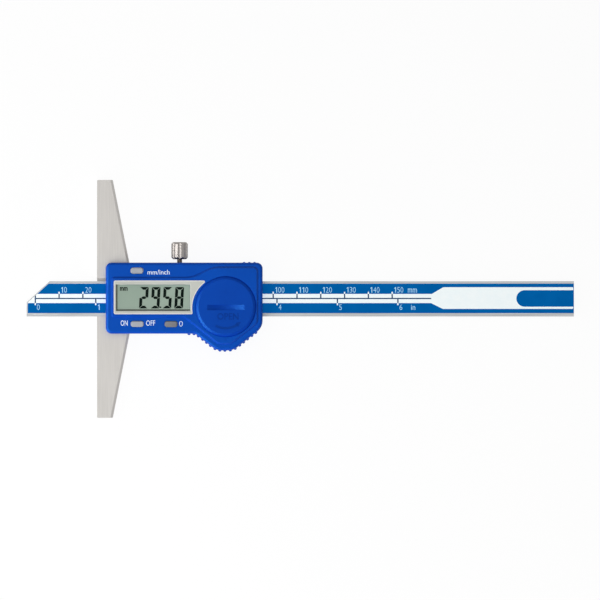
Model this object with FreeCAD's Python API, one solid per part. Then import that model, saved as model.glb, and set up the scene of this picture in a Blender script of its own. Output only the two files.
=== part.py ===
"""Digital depth gauge in millimetres, lying on its back with the display up.

The beam slides along X, and +X leaves the base towards the beam's rear end.
The origin is where the beam's centreline crosses the base's measuring face,
halfway through the base's thickness. +Z leaves the display.
"""
import FreeCAD
import Part
import math
import os

# ---------------------------------------------------------------- beam and scale
BEAM_LENGTH = 230.0
BEAM_WIDTH = 14.8
BEAM_THICKNESS = 3.5
BEVEL_LENGTH = 9.6          # the tip's bevel, along the beam
BEVEL_WIDTH = 8.8           # and across it
READING = 29.58             # how far the beam stands out of the base
SCALE_BOARD_THICKNESS = 0.8
LABEL_THICKNESS = 0.1
LABEL_EDGE_UPPER = 1.0      # bare steel left beside the label
LABEL_EDGE_LOWER = 1.4
LABEL_EDGE_TIP = 0.45
STOP_LENGTH = 8.0
STOP_WIDTH = 10.0
STOP_THICKNESS = 1.6
STOP_INSET = 1.0            # from the beam's rear end
STOP_SCREW_PITCH = 6.0
STOP_SCREW_DEPTH = 1.2      # in the beam
STOP_SCREW_SPARE = 0.4      # of its hole, past the screw's end

# ---------------------------------------------------------------- base and frame
BASE_LENGTH = 100.0
BASE_THICKNESS = 6.5
BASE_END_WIDTH = 6.6
BASE_SLOPE = 0.2            # the rear edge widens the base towards the middle
BASE_CHAMFER = 1.0
BASE_CORNER_RADIUS = 0.5
FRAME_PAST_BATTERY = 13.45   # the frame's rear end, from the battery's centre
UPPER_RAIL = 4.5
LOWER_RAIL = 5.15
RAIL_CORNER_RADIUS = 1.0
GRIP_SIDE_RADIUS = 3.6      # the frame's corner beside the thumb grip
SLIDE_PLAY = 0.05           # between the beam and what guides it
SCALE_GAP = 0.15            # between the label and the pick-up board
GIB_SPACE = 1.3
GIB_THICKNESS = 1.2
GIB_START = 5.0
GIB_END_GAP = 1.0
GIB_SCREW_FRONT_X = 19.0
GIB_SCREW_REAR_INSET = 8.55  # from the frame's rear end
GIB_SCREW_RADIUS = 1.0
GIB_SCREW_LENGTH = 3.2
GIB_POINT_RADIUS = 0.5
GIB_POINT_DEPTH = 0.5
SOCKET_RADIUS = 0.5         # over the corners of its hexagon
SOCKET_DEPTH = 0.9

# ---------------------------------------------------------------- lock screw
LOCK_FROM_BATTERY = 19.4    # between their centres, along the beam
LOCK_THREAD_RADIUS = 1.25
LOCK_NECK_RADIUS = 1.05
LOCK_NECK_SHOWN = 1.4       # between the housing and the head
LOCK_HEAD_RADIUS = 3.55
LOCK_HEAD_LENGTH = 7.2
LOCK_HEAD_CHAMFER = 0.8
LOCK_FLUTES = 8
LOCK_FLUTE_RADIUS = 1.0
LOCK_FLUTE_DEPTH = 0.45
LOCK_TRAVEL = 0.2           # of the brass plug, from free to locked
PLUG_LENGTH = 1.0
THREAD_PLAY = 0.04
TOUCH_GAP = 0.02            # between faces that push each other

# ---------------------------------------------------------------- housing
HOUSING_LEFT = 3.65
HOUSING_WALL = 1.95
HOUSING_HEIGHT = 6.35       # over the frame
HOUSING_CORNER_RADIUS = 2.5
HOUSING_EDGE_RADIUS = 1.2
FRONT_WALL = 1.6
SKIRT_DEPTH = 4.85          # below the frame's front
SKIRT_PLAY = 0.1
BASE_PLAY = 0.05            # housing over the base
BEAM_CLEARANCE = 0.3
GRIP_DEPTH = 7.05           # the thumb grip below the housing's lower side
GRIP_FLAT = 7.0
GRIP_SLOPE = 38.2           # degrees, of the grip's two flanks
GRIP_RADIUS = 7.0
GRIP_ROOT_RADIUS = 3.0
GRIP_SHOULDER_RADIUS = 6.0
GRIP_OFFSET = -0.4          # the grip's middle from the battery's
GRIP_RIBS = 16
GRIP_RIB_PITCH = 2.2
GRIP_RIB_SHIFT = -1.0       # the row's middle from the grip's
GRIP_PATH_STEPS = 900
GRIP_RIB_RADIUS = 0.72
GRIP_RIB_HEIGHT = 0.55
EDGE_RIBS = 3
EDGE_RIB_PITCH = 2.2
EDGE_RIB_HEIGHT = 0.3
EDGE_RIB_INSET = 3.4        # the last rib from the housing's rear side
RIB_TOP_INSET = 3.0         # below the housing's front
PLATEAU_RISE = 0.8
PLATEAU_CHAMFER = 0.75
PLATEAU_INSET_LEFT = 2.15
PLATEAU_INSET_TOP = 1.6
PLATEAU_INSET_RIGHT = 1.8
PLATEAU_STEP = 4.33         # the plateau's upper side drops by this, left of the battery
PLATEAU_INSET_BOTTOM = 6.7
PLATEAU_INSET_GRIP = 2.4
PLATEAU_CORNER = 1.4
PLATEAU_REAR_CORNER = 2.1
PLATEAU_ROOT_RADIUS = 5.0
SWOOSH_RADIUS = 12.0
SWOOSH_MIDDLE = -9.9        # from the battery
SWOOSH_LENGTH = 18.0
BOSS_RADIUS = 2.0
BOSS_INSET_X = 2.95         # a screw's centre from the frame's end
BOSS_FRONT_X = 10.0
SCREW_RADIUS = 1.0
SCREW_PLAY = 0.02
SCREW_CLEARANCE = 0.1
SCREW_HEAD_RADIUS = 1.9
SCREW_HEAD_HEIGHT = 1.0
SCREW_TIP_GAP = 1.0         # below the housing's ceiling
CROSS_LENGTH = 2.0
CROSS_WIDTH = 0.45
CROSS_DEPTH = 0.5
INDEX_LENGTH = 1.4
INDEX_WIDTH = 0.4
MARK_DEPTH = 0.25

# ---------------------------------------------------------------- electronics
BOARD_THICKNESS = 1.0
BOARD_GAP = 0.3
BOARD_GAP_UPPER = 0.22
BOARD_SCREW_FRONT_X = 24.0
BOARD_SCREW_BATTERY_GAP = 15.6  # from the battery's centre, beside its well
BOARD_SCREW_RADIUS = 0.8
BOARD_SCREW_HEAD_RADIUS = 1.4
BOARD_SCREW_HEAD_HEIGHT = 0.7
BOARD_SCREW_DEPTH = 2.6
CHIP_SIZE = 7.0
CHIP_HEIGHT = 1.1
CHIP_CHAMFER = 0.3
CRYSTAL_LENGTH = 4.0
CRYSTAL_WIDTH = 1.6
CRYSTAL_HEIGHT = 0.9
CRYSTAL_CORNER_RADIUS = 0.4

# ---------------------------------------------------------------- display
WINDOW_LEFT = 8.1
WINDOW_LENGTH = 31.0
WINDOW_HEIGHT = 10.9
WINDOW_MIDDLE_Y = 0.55
WINDOW_DRAFT = 0.3
BEZEL_LEFT = 7.02
BEZEL_BORDER_UPPER = 1.7
BEZEL_BORDER_LOWER = 1.55
BEZEL_THICKNESS = 1.0
BEZEL_RISE = 0.2            # over the plateau
BEZEL_CORNER_RADIUS = 0.7
BEZEL_TIP_RADIUS = 0.55     # where its curved side meets the straight ones
BEZEL_CURVE_RADIUS = 13.45
BEZEL_CURVE_SHIFT = (-0.7, -0.57)   # the curve's centre from the battery's
BEZEL_PLAY = 0.05
LENS_THICKNESS = 0.8
LENS_MARGIN = 0.5
GLASS_THICKNESS = 1.0
GLASS_MARGIN_X = 0.8
GLASS_MARGIN_Y = 1.0
CONTACT_LEDGE = 1.5
STRIP_WIDTH = 1.2
STRIP_INSET = 1.2
PART_PLAY = 0.05            # between parts that are pressed together

# ---------------------------------------------------------------- buttons
BUTTON_LENGTH = 5.3
BUTTON_WIDTH = 2.5
BUTTON_CORNER_RADIUS = 1.0
BUTTON_RISE = 0.5
BUTTON_CHAMFER = 0.3
BUTTON_PLAY = 0.4
BUTTON_TRAVEL = 0.4
BUTTON_TAB_LENGTH = 0.7
BUTTON_TAB_WIDTH = 1.6
BUTTON_TAB_HEIGHT = 0.6
BUTTON_STEM_RADIUS = 0.8
DOME_RADIUS = 1.1
DOME_HEIGHT = 0.6
DOME_TOP_RADIUS = 0.6
UNIT_BUTTON_AT = (16.75, 11.85)
POWER_BUTTON_AT = (16.9, -10.55)
ZERO_BUTTON_AT = (31.1, -10.6)

# ---------------------------------------------------------------- battery
BATTERY_FROM_WINDOW = 15.0  # its centre, from the window's rear side
BATTERY_Y = -3.3
BATTERY_RADIUS = 10.0
BATTERY_THICKNESS = 3.2
BATTERY_CHAMFER = 0.3
BATTERY_LIFT = 0.6          # over the board, for the spring contact
WELL_PLAY = 0.25
WELL_RADIUS = 14.0
CONTACT_THICKNESS = 0.15
CONTACT_WIDTH = 3.4
CONTACT_REACH = 6.0
CONTACT_FOOT = 2.0
CLIP_THICKNESS = 0.2
COVER_RADIUS = 12.75
COVER_RIM = 1.3             # the rim's slope, seen from above
COVER_RIM_HEIGHT = 0.5
COVER_RISE = 0.35           # over the plateau
COVER_PLAY = 0.1
COVER_GAP = 0.2             # over the battery
COVER_PLUG_INSET = 1.15
COVER_POCKET_INSET = 2.0
COVER_POCKET_DEPTH = 0.3
LUG_REACH = 0.8
LUG_HEIGHT = 0.6
LUG_ANGLE = 24.0
LUG_COUNT = 3
LUG_FIRST = 90.0
OPENING_TURN = 40.0         # from closed to where the lugs leave the ledge
NOTCH_SPARE = 3.0           # degrees at each side of a lug
LEDGE_HEIGHT = 0.6
LUG_PLAY = 0.1
COIN_SLOT_LENGTH = 15.7
COIN_SLOT_WIDTH = 2.2
COIN_SLOT_DEPTH = 1.7       # in its middle
COIN_SLOT_RISE = 0.75       # its upper side, above the cover's centre
COVER_MARK_LENGTH = 2.2
COVER_MARK_AT = 6.6         # above the cover's centre

# ---------------------------------------------------------------- worked out
BATTERY_X = WINDOW_LEFT + WINDOW_LENGTH + BATTERY_FROM_WINDOW
FRAME_END = BATTERY_X + FRAME_PAST_BATTERY
LOCK_X = BATTERY_X - LOCK_FROM_BATTERY
GIB_SCREW_XS = (GIB_SCREW_FRONT_X, FRAME_END - GIB_SCREW_REAR_INSET)
BOARD_SCREW_XS = (BOARD_SCREW_FRONT_X, BATTERY_X - BOARD_SCREW_BATTERY_GAP)
BEAM_SIDE = BEAM_WIDTH / 2
TIP_X = -READING
REAR_X = TIP_X + BEAM_LENGTH
Z_FRONT = BASE_THICKNESS / 2                # of the base and frame
Z_BACK = -Z_FRONT
Z_BEAM_FRONT = Z_FRONT - SCALE_GAP
Z_BEAM_BACK = Z_BEAM_FRONT - BEAM_THICKNESS
Z_FLOOR = Z_BEAM_BACK - SLIDE_PLAY
Z_MIDDLE = (Z_BEAM_FRONT + Z_BEAM_BACK) / 2
Y_CHANNEL_LOW = -BEAM_SIDE - SLIDE_PLAY
Y_CHANNEL_HIGH = BEAM_SIDE + GIB_SPACE
Y_FRAME_LOW = Y_CHANNEL_LOW - LOWER_RAIL
Y_FRAME_HIGH = Y_CHANNEL_HIGH + UPPER_RAIL
Y_GIB_BACK = BEAM_SIDE + SLIDE_PLAY + GIB_THICKNESS
HOUSING_RIGHT = FRAME_END + SKIRT_PLAY + HOUSING_WALL
HOUSING_TOP = Y_FRAME_HIGH + SKIRT_PLAY + HOUSING_WALL
HOUSING_BOTTOM = Y_FRAME_LOW - SKIRT_PLAY - HOUSING_WALL
Z_HOUSING = Z_FRONT + HOUSING_HEIGHT
Z_PLATEAU = Z_HOUSING + PLATEAU_RISE
Z_SKIRT = Z_FRONT - SKIRT_DEPTH
Z_CEILING = Z_HOUSING - FRONT_WALL
Z_BOARD = Z_FRONT + BOARD_THICKNESS
Z_BATTERY = Z_BOARD + BATTERY_LIFT
Z_BATTERY_TOP = Z_BATTERY + BATTERY_THICKNESS
Z_COVER = Z_BATTERY_TOP + COVER_GAP
Z_GROOVE = Z_COVER - LUG_PLAY
Z_LEDGE = Z_COVER + LUG_HEIGHT + LUG_PLAY
Z_LEDGE_TOP = Z_LEDGE + LEDGE_HEIGHT
Z_COVER_TOP = Z_PLATEAU + COVER_RISE
WELL_BORE = BATTERY_RADIUS + WELL_PLAY
PLUG_RADIUS = COVER_RADIUS - COVER_PLUG_INSET
LUG_RADIUS = PLUG_RADIUS + LUG_REACH
Z_BEZEL_TOP = Z_PLATEAU + BEZEL_RISE
Z_BEZEL = Z_BEZEL_TOP - BEZEL_THICKNESS
Z_LENS = Z_BEZEL - LENS_THICKNESS
Z_GLASS = Z_CEILING - PART_PLAY - GLASS_THICKNESS
WINDOW_LOW = WINDOW_MIDDLE_Y - WINDOW_HEIGHT / 2
WINDOW_HIGH = WINDOW_MIDDLE_Y + WINDOW_HEIGHT / 2
GLASS_LOW = WINDOW_LOW - GLASS_MARGIN_Y
LOWER_SCREW_Y = (Y_FRAME_LOW + Y_CHANNEL_LOW) / 2
UPPER_SCREW_Y = (Y_FRAME_HIGH + Y_CHANNEL_HIGH) / 2
SCREWS_AT = [(x, y) for x in (BOSS_FRONT_X, FRAME_END - BOSS_INSET_X)
             for y in (LOWER_SCREW_Y, UPPER_SCREW_Y)]
Y_LOCK_TIP = Y_GIB_BACK + LOCK_TRAVEL + PLUG_LENGTH + TOUCH_GAP
Y_LOCK_HEAD = HOUSING_TOP + LOCK_NECK_SHOWN
STOP_X = REAR_X - STOP_INSET - STOP_LENGTH
TINY = 1e-6
PAST = 1.0                                  # how far a cutter runs past what it cuts
REACH = BEAM_LENGTH                         # longer than anything that it cuts
SMALL_SIDES = 16                            # of what stands for a small round piece


def vector(x, y, z):
    return FreeCAD.Vector(x, y, z)


def block(x0, x1, y0, y1, z0, z1):
    """A box between two corners."""
    return Part.makeBox(x1 - x0, y1 - y0, z1 - z0, vector(x0, y0, z0))


def upright(radius, x, y, z0, z1):
    """A cylinder along Z."""
    return Part.makeCylinder(radius, z1 - z0, vector(x, y, z0))


def crosswise(radius, x, z, y0, y1):
    """A cylinder along Y."""
    return Part.makeCylinder(radius, y1 - y0, vector(x, y0, z), vector(0, 1, 0))


def flat(points):
    """The face inside a closed run of points."""
    return Part.Face(Part.makePolygon([*points, points[0]]))


def small_ring(radius, centre, up):
    """The corners that stand for a small circle in the plane of X and up."""
    points = []
    for i in range(SMALL_SIDES):
        angle = 2 * math.pi * i / SMALL_SIDES
        points.append(centre + vector(radius * math.cos(angle), 0, 0) + up * (radius * math.sin(angle)))
    return points


def small_upright(radius, x, y, z0, z1):
    """A small round piece along Z."""
    return flat(small_ring(radius, vector(x, y, z0), vector(0, 1, 0))).extrude(vector(0, 0, z1 - z0))


def small_crosswise(radius, x, z, y0, y1):
    """A small round piece along Y."""
    return flat(small_ring(radius, vector(x, y0, z), vector(0, 0, 1))).extrude(vector(0, y1 - y0, 0))


def small_cone(radius0, radius1, x, y, z0, z1):
    """A small cone along Z."""
    low = small_ring(radius0, vector(x, y, z0), vector(0, 1, 0))
    high = small_ring(radius1, vector(x, y, z1), vector(0, 1, 0))
    faces = [flat(low[::-1]), flat(high)]
    for i in range(SMALL_SIDES):
        faces.append(flat([low[i - 1], low[i], high[i], high[i - 1]]))
    return Part.makeSolid(Part.makeShell(faces))


def corner_arc(before, corner, after, radius):
    """Start, middle and end of the arc that rounds one corner of an outline."""
    to_before = (before - corner).normalize()
    to_after = (after - corner).normalize()
    half = to_before.getAngle(to_after) / 2
    reach = radius / math.tan(half)
    bisector = (to_before + to_after).normalize()
    middle = corner + bisector * (radius / math.sin(half) - radius)
    return corner + to_before * reach, middle, corner + to_after * reach


def outline(corners, z=0.0):
    """A closed wire of straight sides. Each corner is (x, y, radius)."""
    points = [vector(x, y, z) for x, y, _ in corners]
    arcs = []
    for i, (_, _, radius) in enumerate(corners):
        following = points[(i + 1) % len(points)]
        arcs.append(corner_arc(points[i - 1], points[i], following, radius))
    edges = []
    for i, (start, middle, end) in enumerate(arcs):
        if corners[i][2] > 0:
            edges.append(Part.Arc(start, middle, end).toShape())
        next_start = arcs[(i + 1) % len(arcs)][0]
        if (next_start - end).Length > TINY:
            edges.append(Part.LineSegment(end, next_start).toShape())
    return Part.Wire(edges)


def prism(corners, z0, z1):
    """An outline's solid between two heights."""
    return Part.Face(outline(corners, z0)).extrude(vector(0, 0, z1 - z0))


def rounded_block(x0, x1, y0, y1, radius, z0, z1):
    return prism([(x0, y0, radius), (x1, y0, radius), (x1, y1, radius), (x0, y1, radius)], z0, z1)


def edges_at(shape, z):
    """The edges that lie in the plane z."""
    return [edge for edge in shape.Edges if all(abs(v.Z - z) < 10 * TINY for v in edge.Vertexes)]


def join(solids):
    first, *rest = solids
    return first.fuse(rest).removeSplitter() if rest else first


def about_battery(shape, degrees):
    """The shape turned about the battery's axis."""
    turned = shape.copy()
    turned.rotate(vector(BATTERY_X, BATTERY_Y, 0), vector(0, 0, 1), degrees)
    return turned


# ================================================================ beam group
def beam_corners(inset_tip=0.0, inset_upper=0.0, inset_lower=0.0):
    """The beam's outline with its bevelled tip, drawn in by the given margins."""
    bevel_angle = math.atan2(BEVEL_WIDTH, BEVEL_LENGTH)
    left = TIP_X + inset_tip
    upper = BEAM_SIDE - inset_upper
    lower = inset_lower - BEAM_SIDE
    run = inset_tip / math.sin(bevel_angle)
    slope = BEVEL_WIDTH / BEVEL_LENGTH
    bevel_foot = BEAM_SIDE - BEVEL_WIDTH + (inset_tip - run) * slope
    bevel_head = TIP_X + run + BEVEL_LENGTH - inset_upper / slope
    return [(left, lower, 0), (REAR_X, lower, 0), (REAR_X, upper, 0),
            (bevel_head, upper, 0), (left, bevel_foot, 0)]


def label_corners():
    return beam_corners(LABEL_EDGE_TIP, LABEL_EDGE_UPPER, LABEL_EDGE_LOWER)


def stop_screw_ys():
    return (-STOP_SCREW_PITCH / 2, STOP_SCREW_PITCH / 2)


def make_beam():
    """The steel blade, milled out in front for the scale and drilled at the rear for its stop."""
    blade = prism(beam_corners(), Z_BEAM_BACK, Z_BEAM_FRONT)
    pocket = prism(label_corners(), Z_BEAM_FRONT - SCALE_BOARD_THICKNESS - LABEL_THICKNESS, Z_FRONT)
    blade = blade.cut(pocket)
    for y in stop_screw_ys():
        hole = small_upright(BOARD_SCREW_RADIUS, STOP_X + STOP_LENGTH / 2, y,
                             Z_BEAM_BACK - PAST, Z_BEAM_BACK + STOP_SCREW_DEPTH + STOP_SCREW_SPARE)
        blade = blade.cut(hole)
    return blade


def make_scale_board():
    """The passive circuit strip that the pick-up reads."""
    top = Z_BEAM_FRONT - LABEL_THICKNESS
    return prism(label_corners(), top - SCALE_BOARD_THICKNESS, top)


def make_scale_label():
    """The printed film over the strip."""
    return prism(label_corners(), Z_BEAM_FRONT - LABEL_THICKNESS, Z_BEAM_FRONT)


def make_beam_stop():
    """The plate behind the beam's rear end that meets the frame at full travel."""
    back = Z_BEAM_BACK - STOP_THICKNESS
    plate = rounded_block(STOP_X, STOP_X + STOP_LENGTH, -STOP_WIDTH / 2, STOP_WIDTH / 2,
                          RAIL_CORNER_RADIUS, back, Z_BEAM_BACK)
    for y in stop_screw_ys():
        plate = plate.cut(small_upright(BOARD_SCREW_RADIUS + SCREW_PLAY, STOP_X + STOP_LENGTH / 2, y,
                                        back - PAST, Z_BEAM_BACK + PAST))
    return plate


def cross_recess(x, y, z0, z1):
    """The cutter of a cross-head screw's recess."""
    half = CROSS_LENGTH / 2
    slit = CROSS_WIDTH / 2
    return block(x - half, x + half, y - slit, y + slit, z0, z1).fuse(
        block(x - slit, x + slit, y - half, y + half, z0, z1))


def make_stop_screws():
    """Two small screws from behind, through the stop into the beam."""
    seat = Z_BEAM_BACK - STOP_THICKNESS
    back = seat - BOARD_SCREW_HEAD_HEIGHT
    screws = []
    for y in stop_screw_ys():
        x = STOP_X + STOP_LENGTH / 2
        shank = small_upright(BOARD_SCREW_RADIUS - SCREW_PLAY, x, y, seat, Z_BEAM_BACK + STOP_SCREW_DEPTH)
        head = small_upright(BOARD_SCREW_HEAD_RADIUS, x, y, back, seat)
        recess = cross_recess(x, y, back - PAST, back + CROSS_DEPTH)
        screws.append(join([shank, head]).cut(recess))
    return Part.makeCompound(screws)


# ================================================================ frame group
def base_corners(grow=0.0):
    """The base from in front: a flat measuring face at X = 0 and a rear edge that slopes both ways."""
    half = BASE_LENGTH / 2
    middle = BASE_END_WIDTH + BASE_SLOPE * half + grow
    end = BASE_END_WIDTH + grow
    corner = BASE_CORNER_RADIUS
    return [(0, -half, corner), (end, -half, corner), (middle, 0, 0), (end, half, corner), (0, half, corner)]


def base_bevels():
    """The cutters that bevel the base's sloping rear edges, one for each wing, in front and behind."""
    half = BASE_LENGTH / 2 + PAST
    start_x = BASE_END_WIDTH - BASE_SLOPE
    cut = BASE_CHAMFER
    cutters = []
    for side in (-1, 1):
        for face in (-1, 1):
            corners = [(start_x - 2 * cut, cut), (start_x + cut, cut), (start_x + cut, -2 * cut)]
            points = [vector(x, side * half, face * (Z_FRONT + z)) for x, z in corners]
            cutters.append(flat(points).extrude(vector(BASE_SLOPE * half, -side * half, 0)))
    return cutters


def slider_corners(low, high, left, radius):
    """The slider's rectangle, whose corner beside the thumb grip is the widest."""
    return [(left, low, radius), (FRAME_END, low, GRIP_SIDE_RADIUS),
            (FRAME_END, high, radius), (left, high, radius)]


def make_slider_frame():
    """The base and the slider in one ground piece, with the channel that the beam runs in."""
    base = prism(base_corners(), Z_BACK, Z_FRONT).cut(base_bevels())
    rails = prism(slider_corners(Y_FRAME_LOW, Y_FRAME_HIGH, BASE_END_WIDTH, RAIL_CORNER_RADIUS),
                  Z_BACK, Z_FRONT)
    frame = join([base, rails])
    frame = frame.cut(block(-PAST, FRAME_END + PAST, Y_CHANNEL_LOW, Y_CHANNEL_HIGH, Z_FLOOR, Z_FRONT + PAST))
    y0 = Y_CHANNEL_HIGH - PAST
    y1 = Y_FRAME_HIGH + PAST
    frame = frame.cut(crosswise(LOCK_THREAD_RADIUS, LOCK_X, Z_MIDDLE, y0, y1))
    for x in GIB_SCREW_XS:
        frame = frame.cut(small_crosswise(GIB_SCREW_RADIUS, x, Z_MIDDLE, y0, y1))
    for x, y in SCREWS_AT:
        frame = frame.cut(small_upright(SCREW_RADIUS + SCREW_CLEARANCE, x, y, Z_BACK - PAST, Z_FRONT + PAST))
        frame = frame.cut(countersink(x, y, SCREW_CLEARANCE))
    for x in BOARD_SCREW_XS:
        for y in (LOWER_SCREW_Y, UPPER_SCREW_Y):
            hole = small_upright(BOARD_SCREW_RADIUS, x, y, Z_FRONT - BOARD_SCREW_DEPTH, Z_FRONT + PAST)
            frame = frame.cut(hole)
    return frame


def countersink(x, y, grow=0.0):
    """The cone of a countersunk head in the frame's back."""
    return small_cone(SCREW_HEAD_RADIUS + grow, SCREW_RADIUS + grow, x, y, Z_BACK, Z_BACK + SCREW_HEAD_HEIGHT)


def make_gib_strip():
    """The brass strip that takes up the beam's play, with a dimple for each gib screw."""
    strip = block(GIB_START, FRAME_END - GIB_END_GAP, BEAM_SIDE + SLIDE_PLAY, Y_GIB_BACK,
                  Z_BEAM_BACK, Z_BEAM_FRONT)
    for x in GIB_SCREW_XS:
        strip = strip.cut(small_crosswise(GIB_POINT_RADIUS + THREAD_PLAY, x, Z_MIDDLE,
                                          Y_GIB_BACK - GIB_POINT_DEPTH - THREAD_PLAY, Y_GIB_BACK + PAST))
    return strip


def hex_socket(x, end):
    """The cutter of a set screw's hexagon socket."""
    start = end - SOCKET_DEPTH
    points = []
    for i in range(6):
        angle = math.radians(60 * i)
        points.append(vector(x + SOCKET_RADIUS * math.cos(angle), start,
                             Z_MIDDLE + SOCKET_RADIUS * math.sin(angle)))
    return flat(points).extrude(vector(0, SOCKET_DEPTH + PAST, 0))


def make_gib_screws():
    """Two set screws in the upper rail, whose points sit in the gib strip."""
    screws = []
    start = Y_GIB_BACK + TOUCH_GAP
    end = start + GIB_SCREW_LENGTH
    for x in GIB_SCREW_XS:
        body = small_crosswise(GIB_SCREW_RADIUS - THREAD_PLAY / 2, x, Z_MIDDLE, start, end)
        point = small_crosswise(GIB_POINT_RADIUS, x, Z_MIDDLE, Y_GIB_BACK - GIB_POINT_DEPTH, start)
        screws.append(join([body, point]).cut(hex_socket(x, end)))
    return Part.makeCompound(screws)


def make_lock_plug():
    """The brass pad that the lock screw pushes against the gib strip."""
    start = Y_GIB_BACK + LOCK_TRAVEL
    return crosswise(LOCK_THREAD_RADIUS - THREAD_PLAY, LOCK_X, Z_MIDDLE, start, start + PLUG_LENGTH)


def lock_head():
    """The scalloped head, turned on its own axis and fluted by a ring of cutters."""
    y1 = Y_LOCK_HEAD + LOCK_HEAD_LENGTH
    head = crosswise(LOCK_HEAD_RADIUS, LOCK_X, Z_MIDDLE, Y_LOCK_HEAD, y1)
    rims = [edge for edge in head.Edges if len(edge.Vertexes) == 1]
    head = head.makeChamfer(LOCK_HEAD_CHAMFER, rims)
    ring = LOCK_HEAD_RADIUS + LOCK_FLUTE_RADIUS - LOCK_FLUTE_DEPTH
    for i in range(LOCK_FLUTES):
        angle = 2 * math.pi * i / LOCK_FLUTES
        flute = crosswise(LOCK_FLUTE_RADIUS, LOCK_X + ring * math.cos(angle),
                          Z_MIDDLE + ring * math.sin(angle), Y_LOCK_HEAD - PAST, y1 + PAST)
        head = head.cut(flute)
    return head


def make_lock_screw():
    """The thumb screw: a thread in the upper rail, a thin neck and the fluted head."""
    thread = crosswise(LOCK_THREAD_RADIUS - THREAD_PLAY, LOCK_X, Z_MIDDLE, Y_LOCK_TIP, Y_FRAME_HIGH)
    neck = crosswise(LOCK_NECK_RADIUS, LOCK_X, Z_MIDDLE, Y_FRAME_HIGH, Y_LOCK_HEAD)
    return join([thread, neck, lock_head()])


# ================================================================ housing
def grip_corners(side_y, rear_x, inset, radii):
    """The thumb grip drawn in by inset, from where its front flank leaves side_y to rear_x."""
    middle = BATTERY_X + GRIP_OFFSET
    slope = math.tan(math.radians(GRIP_SLOPE))
    half = GRIP_FLAT / 2 - inset * math.tan(math.radians(GRIP_SLOPE / 2))
    low = HOUSING_BOTTOM - GRIP_DEPTH + inset
    root_radius, low_radius, shoulder_radius = radii
    return [(middle - half - (side_y - low) / slope, side_y, root_radius),
            (middle - half, low, low_radius),
            (middle + half, low, low_radius),
            (rear_x, low + (rear_x - middle - half) * slope, shoulder_radius)]


def housing_grip():
    radii = (GRIP_ROOT_RADIUS, GRIP_RADIUS, GRIP_SHOULDER_RADIUS)
    return grip_corners(HOUSING_BOTTOM, HOUSING_RIGHT, 0, radii)


def housing_corners():
    return [(HOUSING_LEFT, HOUSING_BOTTOM, HOUSING_CORNER_RADIUS), *housing_grip(),
            (HOUSING_RIGHT, HOUSING_TOP, HOUSING_CORNER_RADIUS),
            (HOUSING_LEFT, HOUSING_TOP, HOUSING_CORNER_RADIUS)]


def plateau_corners():
    """The raised field round the display and battery, with its swept upper side."""
    left = HOUSING_LEFT + PLATEAU_INSET_LEFT
    right = HOUSING_RIGHT - PLATEAU_INSET_RIGHT
    top = HOUSING_TOP - PLATEAU_INSET_TOP
    shelf = top - PLATEAU_STEP
    bottom = HOUSING_BOTTOM + PLATEAU_INSET_BOTTOM
    inset = PLATEAU_INSET_GRIP
    radii = (PLATEAU_ROOT_RADIUS, GRIP_RADIUS - inset, GRIP_SHOULDER_RADIUS - inset)
    middle = BATTERY_X + SWOOSH_MIDDLE
    turn = 2 * math.atan2(PLATEAU_STEP, SWOOSH_LENGTH)
    half_run = PLATEAU_STEP / 2 / math.tan(turn)
    return [(left, bottom, PLATEAU_CORNER), *grip_corners(bottom, right, inset, radii),
            (right, top, PLATEAU_REAR_CORNER),
            (middle + half_run, top, SWOOSH_RADIUS),
            (middle - half_run, shelf, SWOOSH_RADIUS),
            (left, shelf, PLATEAU_CORNER)]


def grip_rib_points():
    """Where the ribs stand: evenly along the housing's rounded outline, round the grip."""
    path = outline(housing_corners())
    points = path.discretize(Number=GRIP_PATH_STEPS)
    step = path.Length / (GRIP_PATH_STEPS - 1)
    middle = vector(BATTERY_X + GRIP_OFFSET, HOUSING_BOTTOM - GRIP_DEPTH, 0)
    centre = min(range(len(points)), key=lambda i: (points[i] - middle).Length)
    places = []
    for i in range(GRIP_RIBS):
        along = (i - (GRIP_RIBS - 1) / 2) * GRIP_RIB_PITCH + GRIP_RIB_SHIFT
        places.append(points[centre + round(along / step)])
    return places


def rib(point, height):
    """A rounded rib down the side wall, standing out by its height."""
    inward = vector(BATTERY_X, BATTERY_Y, 0) - point
    at = point + inward.normalize() * (GRIP_RIB_RADIUS - height)
    return small_upright(GRIP_RIB_RADIUS, at.x, at.y, Z_SKIRT, Z_HOUSING - RIB_TOP_INSET)


def edge_rib(i):
    """One of the small ribs on the upper side."""
    x = HOUSING_RIGHT - EDGE_RIB_INSET - i * EDGE_RIB_PITCH
    return small_upright(GRIP_RIB_RADIUS, x, HOUSING_TOP + EDGE_RIB_HEIGHT - GRIP_RIB_RADIUS,
                         Z_SKIRT, Z_HOUSING - RIB_TOP_INSET)


def housing_shell():
    """The moulding's outside, hollowed from below to an even wall."""
    outer = prism(housing_corners(), Z_SKIRT, Z_HOUSING)
    outer = outer.makeFillet(HOUSING_EDGE_RADIUS, edges_at(outer, Z_HOUSING))
    plateau = prism(plateau_corners(), Z_CEILING + TINY, Z_PLATEAU)
    plateau = plateau.makeChamfer(PLATEAU_CHAMFER, edges_at(plateau, Z_PLATEAU))
    ribs = [rib(point, GRIP_RIB_HEIGHT) for point in grip_rib_points()]
    ribs += [edge_rib(i) for i in range(EDGE_RIBS)]
    shell = join([outer, plateau, *ribs])
    inside = outline(housing_corners(), Z_SKIRT - PAST).makeOffset2D(-HOUSING_WALL)
    return shell.cut(Part.Face(inside).extrude(vector(0, 0, Z_CEILING - Z_SKIRT + PAST)))


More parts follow.
